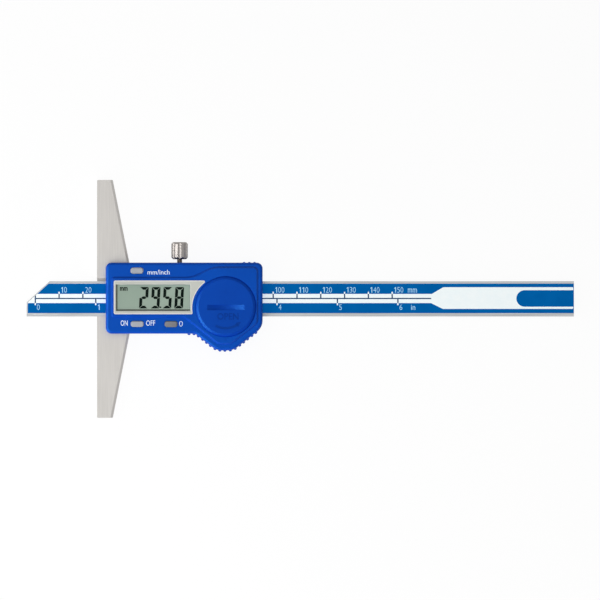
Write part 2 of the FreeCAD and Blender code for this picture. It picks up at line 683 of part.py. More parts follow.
def battery_well():
    """The thick ring round the battery. It stands clear of the board and reaches past its edge."""
    well = upright(WELL_RADIUS, BATTERY_X, BATTERY_Y, Z_FRONT, Z_HOUSING)
    over_board = block(0, FRAME_END + SKIRT_PLAY, Y_FRAME_LOW - SKIRT_PLAY, REACH,
                       Z_FRONT - PAST, Z_BOARD + PART_PLAY)
    return well.cut(over_board)


def screw_bosses():
    """Four pillars that stand on the frame and take the screws from behind."""
    return [small_upright(BOSS_RADIUS, x, y, Z_FRONT, Z_CEILING) for x, y in SCREWS_AT]


def battery_opening():
    """The cutter of the battery's bore, the lug groove, the ledge's notches and the cover's seat."""
    down_to_board = upright(WELL_BORE, BATTERY_X, BATTERY_Y, Z_FRONT - PAST, Z_PLATEAU + PAST)
    overhang = block(0, REACH, -REACH, Y_FRAME_LOW - SKIRT_PLAY, Z_FRONT - 2 * PAST, Z_BATTERY - PART_PLAY)
    cuts = [down_to_board.cut(overhang),
            upright(LUG_RADIUS + COVER_PLAY, BATTERY_X, BATTERY_Y, Z_GROOVE, Z_LEDGE),
            upright(PLUG_RADIUS + COVER_PLAY, BATTERY_X, BATTERY_Y, Z_GROOVE, Z_PLATEAU + PAST),
            upright(COVER_RADIUS + COVER_PLAY, BATTERY_X, BATTERY_Y, Z_LEDGE_TOP, Z_PLATEAU + PAST)]
    for i in range(LUG_COUNT):
        notch = wedge(LUG_RADIUS + COVER_PLAY, Z_GROOVE, Z_PLATEAU + PAST, LUG_ANGLE + 2 * NOTCH_SPARE)
        cuts.append(about_battery(notch, LUG_FIRST + OPENING_TURN + i * 360 / LUG_COUNT))
    return join(cuts)


def wedge(radius, z0, z1, degrees):
    """A pie slice about the battery's axis, centred on +X."""
    slice_ = Part.makeCylinder(radius, z1 - z0, vector(BATTERY_X, BATTERY_Y, z0), vector(0, 0, 1), degrees)
    return about_battery(slice_, -degrees / 2)


def contact_slot(grow):
    """The room for the positive clip in the well's wall; grow is its play."""
    half = CONTACT_WIDTH / 2 + grow
    inner = BATTERY_Y + BATTERY_RADIUS - PAST
    outer = BATTERY_Y + WELL_BORE + CONTACT_FOOT + grow
    return block(BATTERY_X - half, BATTERY_X + half, inner, outer, Z_BOARD, Z_BATTERY_TOP)


def display_opening():
    """The seat of the bezel, the lens's well below it and the window through the front wall."""
    seat = bezel_body(Z_BEZEL, Z_BEZEL_TOP + PAST, BEZEL_PLAY)
    margin = LENS_MARGIN + PART_PLAY
    lens_well = rounded_block(WINDOW_LEFT - margin, WINDOW_LEFT + WINDOW_LENGTH + margin,
                              WINDOW_LOW - margin, WINDOW_HIGH + margin,
                              BEZEL_CORNER_RADIUS, Z_LENS - PART_PLAY, Z_BEZEL + TINY)
    window = block(WINDOW_LEFT, WINDOW_LEFT + WINDOW_LENGTH, WINDOW_LOW, WINDOW_HIGH,
                   Z_CEILING - PAST, Z_BEZEL)
    return [seat, lens_well, window]


def frame_clearances():
    """What the skirt leaves free: the base, the beam, the lock screw, the gib screws."""
    over_base = prism(base_corners(SKIRT_PLAY), Z_SKIRT - PAST, Z_FRONT + BASE_PLAY)
    beside_beam = block(FRAME_END, HOUSING_RIGHT + PAST, -BEAM_SIDE - BEAM_CLEARANCE,
                        BEAM_SIDE + BEAM_CLEARANCE, Z_SKIRT - PAST, Z_BEAM_FRONT + BEAM_CLEARANCE)
    notch_radius = LOCK_THREAD_RADIUS + BEAM_CLEARANCE
    lock_bore = crosswise(notch_radius, LOCK_X, Z_MIDDLE, Y_FRAME_HIGH, HOUSING_TOP + PAST)
    lock_notch = block(LOCK_X - notch_radius, LOCK_X + notch_radius, Y_FRAME_HIGH, HOUSING_TOP + PAST,
                       Z_SKIRT - PAST, Z_MIDDLE)
    gib_bores = []
    for x in GIB_SCREW_XS:
        gib_bores.append(small_crosswise(GIB_SCREW_RADIUS + BEAM_CLEARANCE, x, Z_MIDDLE,
                                         Y_FRAME_HIGH, HOUSING_TOP + PAST))
    return [over_base, beside_beam, lock_bore, lock_notch, *gib_bores]


def button_places():
    return {"unit_button": UNIT_BUTTON_AT, "power_button": POWER_BUTTON_AT, "zero_button": ZERO_BUTTON_AT}


def button_outline(x, y, grow, z0, z1):
    half_length = BUTTON_LENGTH / 2 + grow
    half_width = BUTTON_WIDTH / 2 + grow
    return rounded_block(x - half_length, x + half_length, y - half_width, y + half_width,
                         BUTTON_CORNER_RADIUS + grow, z0, z1)


def make_front_housing():
    """The blue moulding: shell, battery well and bosses, less every opening."""
    housing = join([housing_shell(), battery_well(), *screw_bosses()])
    cuts = [battery_opening(), contact_slot(PART_PLAY), *display_opening(), *frame_clearances()]
    for x, y in button_places().values():
        cuts.append(button_outline(x, y, BUTTON_PLAY, Z_CEILING - PAST, Z_HOUSING + PAST))
    for x, y in SCREWS_AT:
        cuts.append(small_upright(SCREW_RADIUS, x, y, Z_FRONT - PAST, Z_CEILING - SCREW_TIP_GAP))
    index_y = BATTERY_Y - COVER_RADIUS - COVER_PLAY
    cuts.append(block(BATTERY_X - INDEX_WIDTH / 2, BATTERY_X + INDEX_WIDTH / 2,
                      index_y - INDEX_LENGTH, index_y - MARK_DEPTH, Z_PLATEAU - MARK_DEPTH, Z_PLATEAU + PAST))
    return housing.cut(cuts)


def make_housing_screws():
    """Four countersunk screws through the frame's back into the bosses."""
    screws = []
    for x, y in SCREWS_AT:
        shank = small_upright(SCREW_RADIUS - SCREW_PLAY, x, y, Z_BACK, Z_CEILING - SCREW_TIP_GAP - PART_PLAY)
        recess = cross_recess(x, y, Z_BACK - PAST, Z_BACK + CROSS_DEPTH)
        screws.append(join([shank, countersink(x, y)]).cut(recess))
    return Part.makeCompound(screws)


# ================================================================ display
def bezel_body(z0, z1, grow=0.0):
    """The bezel's outline: three straight sides and one that curves round the battery's well."""
    body = rounded_block(BEZEL_LEFT - grow, BATTERY_X, WINDOW_LOW - BEZEL_BORDER_LOWER - grow,
                         WINDOW_HIGH + BEZEL_BORDER_UPPER + grow, BEZEL_CORNER_RADIUS, z0, z1)
    shift_x, shift_y = BEZEL_CURVE_SHIFT
    body = body.cut(upright(BEZEL_CURVE_RADIUS - grow, BATTERY_X + shift_x, BATTERY_Y + shift_y,
                            z0 - PAST, z1 + PAST))
    tips = [edge for edge in body.Edges
            if abs(edge.tangentAt(edge.FirstParameter).z) > 1 - TINY
            and edge.CenterOfMass.x > WINDOW_LEFT + WINDOW_LENGTH]
    return body.makeFillet(BEZEL_TIP_RADIUS, tips)


def make_display_bezel():
    """The pale surround, with a window that narrows towards the lens."""
    outer = bezel_body(Z_BEZEL, Z_BEZEL_TOP)
    lower = outline_of_window(0, Z_BEZEL)
    upper = outline_of_window(WINDOW_DRAFT, Z_BEZEL_TOP)
    return outer.cut(Part.makeLoft([lower, upper], True))


def outline_of_window(grow, z):
    x0 = WINDOW_LEFT - grow
    x1 = WINDOW_LEFT + WINDOW_LENGTH + grow
    y0 = WINDOW_LOW - grow
    y1 = WINDOW_HIGH + grow
    return outline([(x0, y0, 0), (x1, y0, 0), (x1, y1, 0), (x0, y1, 0)], z)


def make_display_lens():
    """The clear window under the bezel."""
    return rounded_block(WINDOW_LEFT - LENS_MARGIN, WINDOW_LEFT + WINDOW_LENGTH + LENS_MARGIN,
                         WINDOW_LOW - LENS_MARGIN, WINDOW_HIGH + LENS_MARGIN,
                         BEZEL_CORNER_RADIUS, Z_LENS, Z_BEZEL)


def glass_span():
    """The display glass from left to right."""
    return WINDOW_LEFT - GLASS_MARGIN_X, WINDOW_LEFT + WINDOW_LENGTH + GLASS_MARGIN_X


def make_lcd_panel():
    """Two glass plates. The front one reaches past the rear one, and carries the contacts there."""
    x0, x1 = glass_span()
    high = WINDOW_HIGH + GLASS_MARGIN_Y
    front = block(x0, x1, GLASS_LOW, high, Z_GLASS, Z_GLASS + GLASS_THICKNESS)
    rear = block(x0, x1, GLASS_LOW + CONTACT_LEDGE, high, Z_GLASS - GLASS_THICKNESS, Z_GLASS)
    return join([front, rear])


def make_lcd_connector():
    """The elastomer strip between the board and the glass's contact ledge."""
    x0, x1 = glass_span()
    y0 = GLASS_LOW + (CONTACT_LEDGE - STRIP_WIDTH) / 2
    return block(x0 + STRIP_INSET, x1 - STRIP_INSET, y0, y0 + STRIP_WIDTH, Z_BOARD, Z_GLASS)


# ================================================================ electronics
def make_main_board():
    """The circuit board on the frame's rails, whose underside is the pick-up."""
    left = HOUSING_LEFT + HOUSING_WALL + BOARD_GAP
    board = prism(slider_corners(Y_FRAME_LOW + BOARD_GAP, Y_FRAME_HIGH - BOARD_GAP_UPPER,
                                 left, RAIL_CORNER_RADIUS), Z_FRONT, Z_BOARD)
    for x, y in SCREWS_AT:
        board = board.cut(small_upright(BOSS_RADIUS + SCREW_CLEARANCE, x, y, Z_FRONT - PAST, Z_BOARD + PAST))
    for x in BOARD_SCREW_XS:
        for y in (LOWER_SCREW_Y, UPPER_SCREW_Y):
            hole = small_upright(BOARD_SCREW_RADIUS + SCREW_PLAY, x, y, Z_FRONT - PAST, Z_BOARD + PAST)
            board = board.cut(hole)
    return board


def make_board_screws():
    """Pan-head screws that hold the board to the frame."""
    screws = []
    for x in BOARD_SCREW_XS:
        for y in (LOWER_SCREW_Y, UPPER_SCREW_Y):
            shank = small_upright(BOARD_SCREW_RADIUS - SCREW_PLAY, x, y, Z_FRONT - BOARD_SCREW_DEPTH, Z_BOARD)
            head = small_upright(BOARD_SCREW_HEAD_RADIUS, x, y, Z_BOARD, Z_BOARD + BOARD_SCREW_HEAD_HEIGHT)
            screws.append(join([shank, head]))
    return Part.makeCompound(screws)


def make_controller_chip():
    """The moulded chip under the display."""
    middle = WINDOW_LEFT + WINDOW_LENGTH / 2
    half = CHIP_SIZE / 2
    chip = block(middle - half, middle + half, WINDOW_MIDDLE_Y - half, WINDOW_MIDDLE_Y + half,
                 Z_BOARD, Z_BOARD + CHIP_HEIGHT)
    return chip.makeChamfer(CHIP_CHAMFER, edges_at(chip, Z_BOARD + CHIP_HEIGHT))


def make_timing_crystal():
    """The crystal beside the chip."""
    x = WINDOW_LEFT + WINDOW_LENGTH / 2 + CHIP_SIZE
    return rounded_block(x, x + CRYSTAL_LENGTH, WINDOW_MIDDLE_Y - CRYSTAL_WIDTH / 2,
                         WINDOW_MIDDLE_Y + CRYSTAL_WIDTH / 2, CRYSTAL_CORNER_RADIUS,
                         Z_BOARD, Z_BOARD + CRYSTAL_HEIGHT)


# ================================================================ buttons
def make_button(x, y):
    """A cap in the front wall, two tabs that keep it in, and a stem over its dome."""
    tab_top = Z_CEILING - PART_PLAY
    tab_bottom = tab_top - BUTTON_TAB_HEIGHT
    cap = button_outline(x, y, 0, tab_bottom, Z_HOUSING + BUTTON_RISE)
    cap = cap.makeChamfer(BUTTON_CHAMFER, edges_at(cap, Z_HOUSING + BUTTON_RISE))
    reach = BUTTON_LENGTH / 2 + BUTTON_TAB_LENGTH
    half_width = BUTTON_TAB_WIDTH / 2
    tabs = block(x - reach, x + reach, y - half_width, y + half_width, tab_bottom, tab_top)
    stem_foot = Z_BOARD + DOME_HEIGHT + BUTTON_TRAVEL + PART_PLAY
    stem = small_upright(BUTTON_STEM_RADIUS, x, y, stem_foot, tab_bottom)
    return join([cap, tabs, stem])


def make_button_domes():
    """Three snap domes on the board, which push the buttons back."""
    domes = []
    for x, y in button_places().values():
        domes.append(small_cone(DOME_RADIUS, DOME_TOP_RADIUS, x, y, Z_BOARD, Z_BOARD + DOME_HEIGHT))
    return Part.makeCompound(domes)


# ================================================================ battery
def make_battery():
    """The coin cell: a wide can and, below, its smaller negative face."""
    cell = upright(BATTERY_RADIUS, BATTERY_X, BATTERY_Y, Z_BATTERY, Z_BATTERY_TOP)
    return cell.makeChamfer(BATTERY_CHAMFER, edges_at(cell, Z_BATTERY))


def leaf(points, thickness, y0, y1):
    """A bent strip: a profile in XZ, as thick as given and as wide as from y0 to y1."""
    lower = [vector(x, y0, z) for x, z in points]
    upper = [vector(x, y0, z + thickness) for x, z in reversed(points)]
    return flat([*lower, *upper]).extrude(vector(0, y1 - y0, 0))


def make_negative_contact():
    """The spring leaf on the board, pressed down by the battery."""
    top = Z_BATTERY - PART_PLAY - CONTACT_THICKNESS
    x0 = BATTERY_X - CONTACT_REACH
    x1 = BATTERY_X + CONTACT_REACH
    tip = (top + Z_BOARD) / 2
    half = CONTACT_WIDTH / 2
    profile = [(x0, Z_BOARD), (x0 + CONTACT_FOOT, Z_BOARD), (x1 - CONTACT_FOOT, top), (x1, tip)]
    return leaf(profile, CONTACT_THICKNESS, BATTERY_Y - half, BATTERY_Y + half)


def make_positive_contact():
    """The clip that stands beside the battery and touches its can."""
    half = CONTACT_WIDTH / 2
    inner = BATTERY_Y + BATTERY_RADIUS + PART_PLAY
    upright_leaf = block(BATTERY_X - half, BATTERY_X + half, inner, inner + CLIP_THICKNESS,
                         Z_BOARD, Z_BATTERY_TOP - COVER_GAP)
    foot = block(BATTERY_X - half, BATTERY_X + half, inner, BATTERY_Y + WELL_BORE + CONTACT_FOOT,
                 Z_BOARD, Z_BOARD + CLIP_THICKNESS)
    return join([upright_leaf, foot])


def coin_slot():
    """The coin slot's cutter: a disc on edge, so that the slot is deepest in its middle."""
    half = COIN_SLOT_LENGTH / 2
    radius = (half ** 2 + COIN_SLOT_DEPTH ** 2) / (2 * COIN_SLOT_DEPTH)
    y1 = BATTERY_Y + COIN_SLOT_RISE
    return crosswise(radius, BATTERY_X, Z_COVER_TOP - COIN_SLOT_DEPTH + radius, y1 - COIN_SLOT_WIDTH, y1)


def make_battery_cover():
    """The bayonet cap: a bevelled disc, a plug below it and three lugs that turn under the ledge."""
    seat = Z_LEDGE_TOP + PART_PLAY
    rim = Z_COVER_TOP - COVER_RIM_HEIGHT
    disc = upright(COVER_RADIUS, BATTERY_X, BATTERY_Y, seat, rim)
    bevel = Part.makeCone(COVER_RADIUS, COVER_RADIUS - COVER_RIM, COVER_RIM_HEIGHT,
                          vector(BATTERY_X, BATTERY_Y, rim))
    plug = upright(PLUG_RADIUS, BATTERY_X, BATTERY_Y, Z_COVER, seat)
    lugs = []
    for i in range(LUG_COUNT):
        lug = wedge(LUG_RADIUS, Z_COVER, Z_COVER + LUG_HEIGHT, LUG_ANGLE)
        lugs.append(about_battery(lug, LUG_FIRST + i * 360 / LUG_COUNT))
    cover = join([disc, bevel, plug, *lugs])
    pocket = upright(PLUG_RADIUS - COVER_POCKET_INSET, BATTERY_X, BATTERY_Y, Z_COVER - PAST,
                     Z_COVER + COVER_POCKET_DEPTH)
    mark_y = BATTERY_Y + COVER_MARK_AT
    mark = block(BATTERY_X - INDEX_WIDTH / 2, BATTERY_X + INDEX_WIDTH / 2,
                 mark_y - COVER_MARK_LENGTH / 2, mark_y + COVER_MARK_LENGTH / 2,
                 Z_COVER_TOP - MARK_DEPTH, Z_COVER_TOP + PAST)
    return cover.cut([pocket, coin_slot(), mark])


def make_parts():
    """Every node's name and solid."""
    parts = {
        "beam": make_beam(),
        "scale_board": make_scale_board(),
        "scale_label": make_scale_label(),
        "beam_stop": make_beam_stop(),
        "stop_screws": make_stop_screws(),
        "slider_frame": make_slider_frame(),
        "gib_strip": make_gib_strip(),
        "gib_screws": make_gib_screws(),
        "lock_plug": make_lock_plug(),
        "lock_screw": make_lock_screw(),
        "front_housing": make_front_housing(),
        "housing_screws": make_housing_screws(),
        "display_bezel": make_display_bezel(),
        "display_lens": make_display_lens(),
        "lcd_panel": make_lcd_panel(),
        "lcd_connector": make_lcd_connector(),
        "main_board": make_main_board(),
        "board_screws": make_board_screws(),
        "controller_chip": make_controller_chip(),
        "timing_crystal": make_timing_crystal(),
        "button_domes": make_button_domes(),
        "battery": make_battery(),
        "negative_contact": make_negative_contact(),
        "positive_contact": make_positive_contact(),
        "battery_cover": make_battery_cover(),
    }
    for name, (x, y) in button_places().items():
        parts[name] = make_button(x, y)
    return parts


os.makedirs("parts", exist_ok=True)
for name, shape in make_parts().items():
    shape.exportStep(f"parts/{name}.step")
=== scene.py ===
import math

import bmesh
import bpy
from mathutils import Matrix, Vector


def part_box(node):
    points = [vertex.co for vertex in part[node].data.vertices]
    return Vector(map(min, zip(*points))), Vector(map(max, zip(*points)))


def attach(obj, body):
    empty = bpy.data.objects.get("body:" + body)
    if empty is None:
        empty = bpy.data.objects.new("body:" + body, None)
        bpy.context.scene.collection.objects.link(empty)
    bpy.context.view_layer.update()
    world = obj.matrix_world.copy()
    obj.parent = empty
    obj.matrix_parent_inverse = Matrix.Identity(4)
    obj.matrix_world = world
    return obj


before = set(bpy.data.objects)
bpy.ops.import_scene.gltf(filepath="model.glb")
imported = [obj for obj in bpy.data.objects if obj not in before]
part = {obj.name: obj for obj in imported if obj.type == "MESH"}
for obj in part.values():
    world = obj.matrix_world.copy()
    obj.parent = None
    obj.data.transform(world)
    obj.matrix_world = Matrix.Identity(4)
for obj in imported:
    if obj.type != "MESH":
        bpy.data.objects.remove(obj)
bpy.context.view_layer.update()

MM = 0.001


# ---- Slider frame ------------------------------------------------------------------------
# The base and the slider's two rails are one piece of hardened steel. It is milled, then
# ground along its length and left with a fine satin grain, with no plating.

def screen_colour(red, green, blue):
    """A colour in 0 to 255, as an sRGB screen shows it, in the light values that a shader takes."""
    levels = [level / 255 for level in (red, green, blue)]
    light = [v / 12.92 if v <= 0.04045 else ((v + 0.055) / 1.055) ** 2.4 for v in levels]
    return (*light, 1.0)


def new_finish(name, roughness, metallic=0.0, specular=0.5):
    """A material with nothing on it yet but the main shader's even values."""
    finish = bpy.data.materials.new(name)
    finish.use_nodes = True
    surface = finish.node_tree.nodes["Principled BSDF"].inputs
    surface["Roughness"].default_value = roughness
    surface["Metallic"].default_value = metallic
    surface["Specular IOR Level"].default_value = specular
    return finish


def surface_of(finish):
    """The sockets of a finish's main shader."""
    return finish.node_tree.nodes["Principled BSDF"].inputs


def grain(finish, spots_per_metre, stretch=(1, 1, 1), detail=3.0):
    """Soft spots of that fineness, drawn out along an axis where its stretch is small."""
    nodes, links = finish.node_tree.nodes, finish.node_tree.links
    place = nodes.new("ShaderNodeTexCoord")
    drawn = nodes.new("ShaderNodeMapping")
    drawn.inputs["Scale"].default_value = stretch
    spots = nodes.new("ShaderNodeTexNoise")
    spots.inputs["Scale"].default_value = spots_per_metre
    spots.inputs["Detail"].default_value = detail
    links.new(place.outputs["Object"], drawn.inputs["Vector"])
    links.new(drawn.outputs["Vector"], spots.inputs["Vector"])
    return spots.outputs["Fac"]


COLOUR_CHANGES = 0.35, 0.65         # the pattern's values over which the colour changes
GLOSS_CHANGES = 0.3, 0.7            # and those over which the gloss does


def tint(finish, pattern, dark, light):
    """The surface's colour runs from dark to light with the pattern."""
    ramp = finish.node_tree.nodes.new("ShaderNodeValToRGB")
    for end, value, colour in zip(ramp.color_ramp.elements, COLOUR_CHANGES, (dark, light)):
        end.position = value
        end.color = screen_colour(*colour)
    finish.node_tree.links.new(pattern, ramp.inputs["Fac"])
    finish.node_tree.links.new(ramp.outputs["Color"], surface_of(finish)["Base Color"])


def uneven_gloss(finish, pattern, smooth, rough):
    """The roughness runs from smooth to rough with the pattern."""
    spread = finish.node_tree.nodes.new("ShaderNodeMapRange")
    spread.inputs["From Min"].default_value = GLOSS_CHANGES[0]
    spread.inputs["From Max"].default_value = GLOSS_CHANGES[1]
    spread.inputs["To Min"].default_value = smooth
    spread.inputs["To Max"].default_value = rough
    finish.node_tree.links.new(pattern, spread.inputs["Value"])
    finish.node_tree.links.new(spread.outputs["Result"], surface_of(finish)["Roughness"])


def relief(finish, pattern, depth):
    """The pattern stands out of the surface by depth millimetres."""
    bump = finish.node_tree.nodes.new("ShaderNodeBump")
    bump.inputs["Distance"].default_value = depth * MM
    bump.inputs["Strength"].default_value = 1.0
    finish.node_tree.links.new(pattern, bump.inputs["Height"])
    finish.node_tree.links.new(bump.outputs["Normal"], surface_of(finish)["Normal"])


def give(finish, *pieces):
    """Puts a finish on whole pieces."""
    for piece in pieces:
        piece.data.materials.clear()
        piece.data.materials.append(finish)


ground_steel = new_finish("ground_steel", 0.36, metallic=1.0)
grinding = grain(ground_steel, 3200, stretch=(1, 0.02, 1))
tint(ground_steel, grinding, (192, 189, 185), (198, 195, 191))
uneven_gloss(ground_steel, grinding, 0.33, 0.38)
relief(ground_steel, grinding, 0.001)
give(ground_steel, part["slider_frame"])


# ---- Gib and its screws ------------------------------------------------------------------
# A brass strip, rolled and cut to length, fills the beam's play in the upper rail. Two
# headless steel screws with hexagon sockets, darkened by their hardening, press it down.

gib_brass = new_finish("gib_brass", 0.35, metallic=1.0)
tint(gib_brass, grain(gib_brass, 120), (196, 160, 88), (214, 180, 106))
uneven_gloss(gib_brass, grain(gib_brass, 700, stretch=(0.05, 1, 1)), 0.28, 0.45)
give(gib_brass, part["gib_strip"])

screw_steel = new_finish("screw_steel", 0.4, metallic=1.0)
tint(screw_steel, grain(screw_steel, 500), (120, 120, 124), (146, 146, 150))
uneven_gloss(screw_steel, grain(screw_steel, 1500), 0.30, 0.48)
give(screw_steel, part["gib_screws"])


# ---- Beam --------------------------------------------------------------------------------
# The blade that measures the depth: hardened stainless steel, ground along its length,
# with a pocket for the scale and a bevelled tip.

beam_steel = new_finish("beam_steel", 0.34, metallic=1.0)
drawn_grain = grain(beam_steel, 3200, stretch=(0.01, 1, 1))
tint(beam_steel, drawn_grain, (174, 176, 178), (194, 196, 198))
uneven_gloss(beam_steel, drawn_grain, 0.3, 0.4)
relief(beam_steel, drawn_grain, 0.003)
give(beam_steel, part["beam"])


# ---- Beam stop ---------------------------------------------------------------------------
# A small steel plate with two pan-head screws behind the beam's rear end. It meets the
# slider's frame, so the beam can't leave it.

stop_steel = new_finish("stop_steel", 0.4, metallic=1.0)
tint(stop_steel, grain(stop_steel, 200), (180, 180, 182), (198, 198, 198))
uneven_gloss(stop_steel, grain(stop_steel, 800, stretch=(1, 0.04, 1)), 0.34, 0.5)
give(stop_steel, part["beam_stop"])
give(screw_steel, part["stop_screws"])


# ---- Scale board -------------------------------------------------------------------------
# The passive strip in the beam's pocket: glass-fibre laminate with a row of copper plates
# under green lacquer, glued down. The label hides it but for its edges.

laminate = new_finish("circuit_board", 0.45)
tint(laminate, grain(laminate, 700, stretch=(1, 0.2, 1)), (24, 84, 52), (34, 104, 64))
uneven_gloss(laminate, grain(laminate, 300), 0.38, 0.55)
give(laminate, part["scale_board"])


# ---- Label -------------------------------------------------------------------------------
# A polyester film, printed blue, over the scale board. A white band with navy ticks runs
# along it, millimetres above and inches below, and a white field fills its rear end.

LABEL_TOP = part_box("scale_label")[1].z / MM
LABEL_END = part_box("scale_label")[1].x / MM
SCALE_ZERO = -25.96                 # where the scale reads nothing
BAND_LOW, BAND_HIGH = -1.77, 2.08
LINE_LOW, LINE_HIGH = -0.1, 0.4     # the line that parts millimetres from inches
LINE_START, LINE_END = SCALE_ZERO + 0.3, 140.505
LINE_ROUND = 0.255                  # radius of the line's rear end
TICK_WIDTH = 0.56
STUB = 0.93                         # how far a white stub runs past the band
STUB_ROUND = 0.3                    # radius of the stub's corners
TEN, INCH = 10, 25.4                # millimetres from tick to tick, above and below
TENS, INCHES = 15, 6                # how many ticks there are past the zero
PRINT = 0.02                        # thickness of one layer of ink
UNDERPRINT = LABEL_TOP - PRINT, LABEL_TOP + PRINT
OVERPRINT = LABEL_TOP + PRINT / 2, LABEL_TOP + 2 * PRINT
NEAR = 0.001                        # corners this close are the same corner

label_blue = new_finish("label_film", 0.4, specular=0.12)
surface_of(label_blue)["Specular Tint"].default_value = (0.0, 0.6, 1.0, 1.0)
tint(label_blue, grain(label_blue, 140), (0, 90, 162), (2, 95, 168))
uneven_gloss(label_blue, grain(label_blue, 2500), 0.28, 0.38)
give(label_blue, part["scale_label"])

white_ink = new_finish("white_ink", 0.45, specular=0.2)
tint(white_ink, grain(white_ink, 300), (243, 252, 254), (247, 254, 255))
uneven_gloss(white_ink, grain(white_ink, 3000), 0.4, 0.5)

navy_ink = new_finish("navy_ink", 0.4, specular=0.2)
tint(navy_ink, grain(navy_ink, 300), (0, 56, 98), (2, 62, 106))
uneven_gloss(navy_ink, grain(navy_ink, 3000), 0.35, 0.45)

figure_ink = new_finish("figure_ink", 0.45, specular=0.2)
tint(figure_ink, grain(figure_ink, 300), (170, 222, 250), (180, 228, 252))
uneven_gloss(figure_ink, grain(figure_ink, 3000), 0.4, 0.5)


def arc(x, y, radius, start, end, steps=8):
    """Points on an arc in millimetres, from start to end in degrees."""
    turns = [math.radians(start + (end - start) * i / steps) for i in range(steps + 1)]
    return [(x + radius * math.cos(t), y + radius * math.sin(t)) for t in turns]


def rounded_box(x0, x1, y0, y1, radii=(0, 0, 0, 0)):
    """A box's outline, with its corner radii from lower left round to upper left."""
    corners = [(x0, y0, 1, 1, 180), (x1, y0, -1, 1, 270), (x1, y1, -1, -1, 0), (x0, y1, 1, -1, 90)]
    points = []
    for (x, y, right, up, start), radius in zip(corners, radii):
        if radius:
            points += arc(x + right * radius, y + up * radius, radius, start, start + 90)
        else:
            points.append((x, y))
    return points


def raise_plate(shape, outline, z0, z1):
    """Adds a flat plate with that outline, counter-clockwise, between two heights."""
    low = [shape.verts.new((x * MM, y * MM, z0 * MM)) for x, y in outline]
    high = [shape.verts.new((x * MM, y * MM, z1 * MM)) for x, y in outline]
    shape.faces.new(reversed(low))
    shape.faces.new(high)
    for i in range(len(outline)):
        j = (i + 1) % len(outline)
        shape.faces.new((low[i], low[j], high[j], high[i]))


def make_piece(name, shape, finish, body):
    """Turns worked mesh into a piece that moves with its body."""
    mesh = bpy.data.meshes.new(name)
    shape.to_mesh(mesh)
    shape.free()
    piece = bpy.data.objects.new(name, mesh)
    bpy.context.scene.collection.objects.link(piece)
    mesh.materials.append(finish)
    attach(piece, body)
    return piece


def plates(name, outlines, z0, z1, finish, body, slot):
    """One piece of flat plates, all between the same two heights."""
    shape = bmesh.new()
    for outline in outlines:
        raise_plate(shape, outline, z0, z1)
    return make_piece(name, shape, finish, body)


def tick(x, low, high, low_round=0, high_round=0):
    """A tick's outline round x, with the radii of its lower and upper corners."""
    return rounded_box(x - TICK_WIDTH / 2, x + TICK_WIDTH / 2, low, high,
                       (low_round, low_round, high_round, high_round))


LABEL_CORNERS = {(v.co.x / MM, v.co.y / MM) for v in part["scale_label"].data.vertices}
LABEL_LEFT = min(x for x, _ in LABEL_CORNERS)
LABEL_HIGH = max(y for _, y in LABEL_CORNERS)
BEVEL_FOOT = max(y for x, y in LABEL_CORNERS if x < LABEL_LEFT + NEAR)
BEVEL_HEAD = min(x for x, y in LABEL_CORNERS if y > LABEL_HIGH - NEAR)
BEVEL_RUN = (BEVEL_HEAD - LABEL_LEFT) / (LABEL_HIGH - BEVEL_FOOT)
mm_ticks = [SCALE_ZERO + TEN * i for i in range(1, TENS + 1)]
inch_ticks = [SCALE_ZERO + INCH * i for i in range(1, INCHES + 1)]

FIELD_START, FIELD_END = 140.6, LABEL_END - 0.25
FIELD_LOW, FIELD_HIGH = -4.22, 4.9
FLARE_LOW, FLARE_HIGH = -1.9, 2.0   # the field's sides where it flares out of the band
BEND_LOW, BEND_HIGH = 145.6, 145.8  # where they bend to run straight on, along X
BEND_ROUND = 1.0
FIELD_CORNER = 0.5

band = [(LABEL_LEFT, BAND_LOW), (FIELD_START, BAND_LOW), (FIELD_START, BAND_HIGH),
        (LABEL_LEFT + (BAND_HIGH - BEVEL_FOOT) * BEVEL_RUN, BAND_HIGH), (LABEL_LEFT, BEVEL_FOOT)]
stubs = [tick(x, BAND_HIGH, BAND_HIGH + STUB, high_round=STUB_ROUND) for x in mm_ticks]
stubs += [tick(x, BAND_LOW - STUB, BAND_LOW, low_round=STUB_ROUND) for x in [SCALE_ZERO, *inch_ticks]]
field = [(FIELD_START, FLARE_LOW),
         *arc(BEND_LOW, FIELD_LOW + BEND_ROUND, BEND_ROUND, 240, 270, steps=4),
         *arc(FIELD_END - FIELD_CORNER, FIELD_LOW + FIELD_CORNER, FIELD_CORNER, 270, 360),
         *arc(FIELD_END - FIELD_CORNER, FIELD_HIGH - FIELD_CORNER, FIELD_CORNER, 0, 90),
         *arc(BEND_HIGH, FIELD_HIGH - BEND_ROUND, BEND_ROUND, 90, 125, steps=4),
         (FIELD_START, FLARE_HIGH)]
plates("scale_white", [band, field, *stubs], *UNDERPRINT, white_ink, "beam_body", "label_film")

centre_line = [(LINE_START, LINE_LOW),
               *arc(LINE_END - LINE_ROUND, (LINE_LOW + LINE_HIGH) / 2, LINE_ROUND, -90, 90),
               (LINE_START, LINE_HIGH)]
marks = [tick(x, LINE_HIGH, BAND_HIGH) for x in mm_ticks]
marks += [tick(x, BAND_LOW, LINE_LOW) for x in inch_ticks]
zero_sides = [SCALE_ZERO - TICK_WIDTH / 2, SCALE_ZERO + TICK_WIDTH / 2]
zero_tops = [BEVEL_FOOT + (x - LABEL_LEFT) / BEVEL_RUN for x in zero_sides]
marks.append([(zero_sides[0], BAND_LOW), (zero_sides[1], BAND_LOW), (zero_sides[1], zero_tops[1]),
              (zero_sides[0], zero_tops[0])])
plates("scale_ticks", [centre_line, *marks], *OVERPRINT, navy_ink, "beam_body", "label_film")

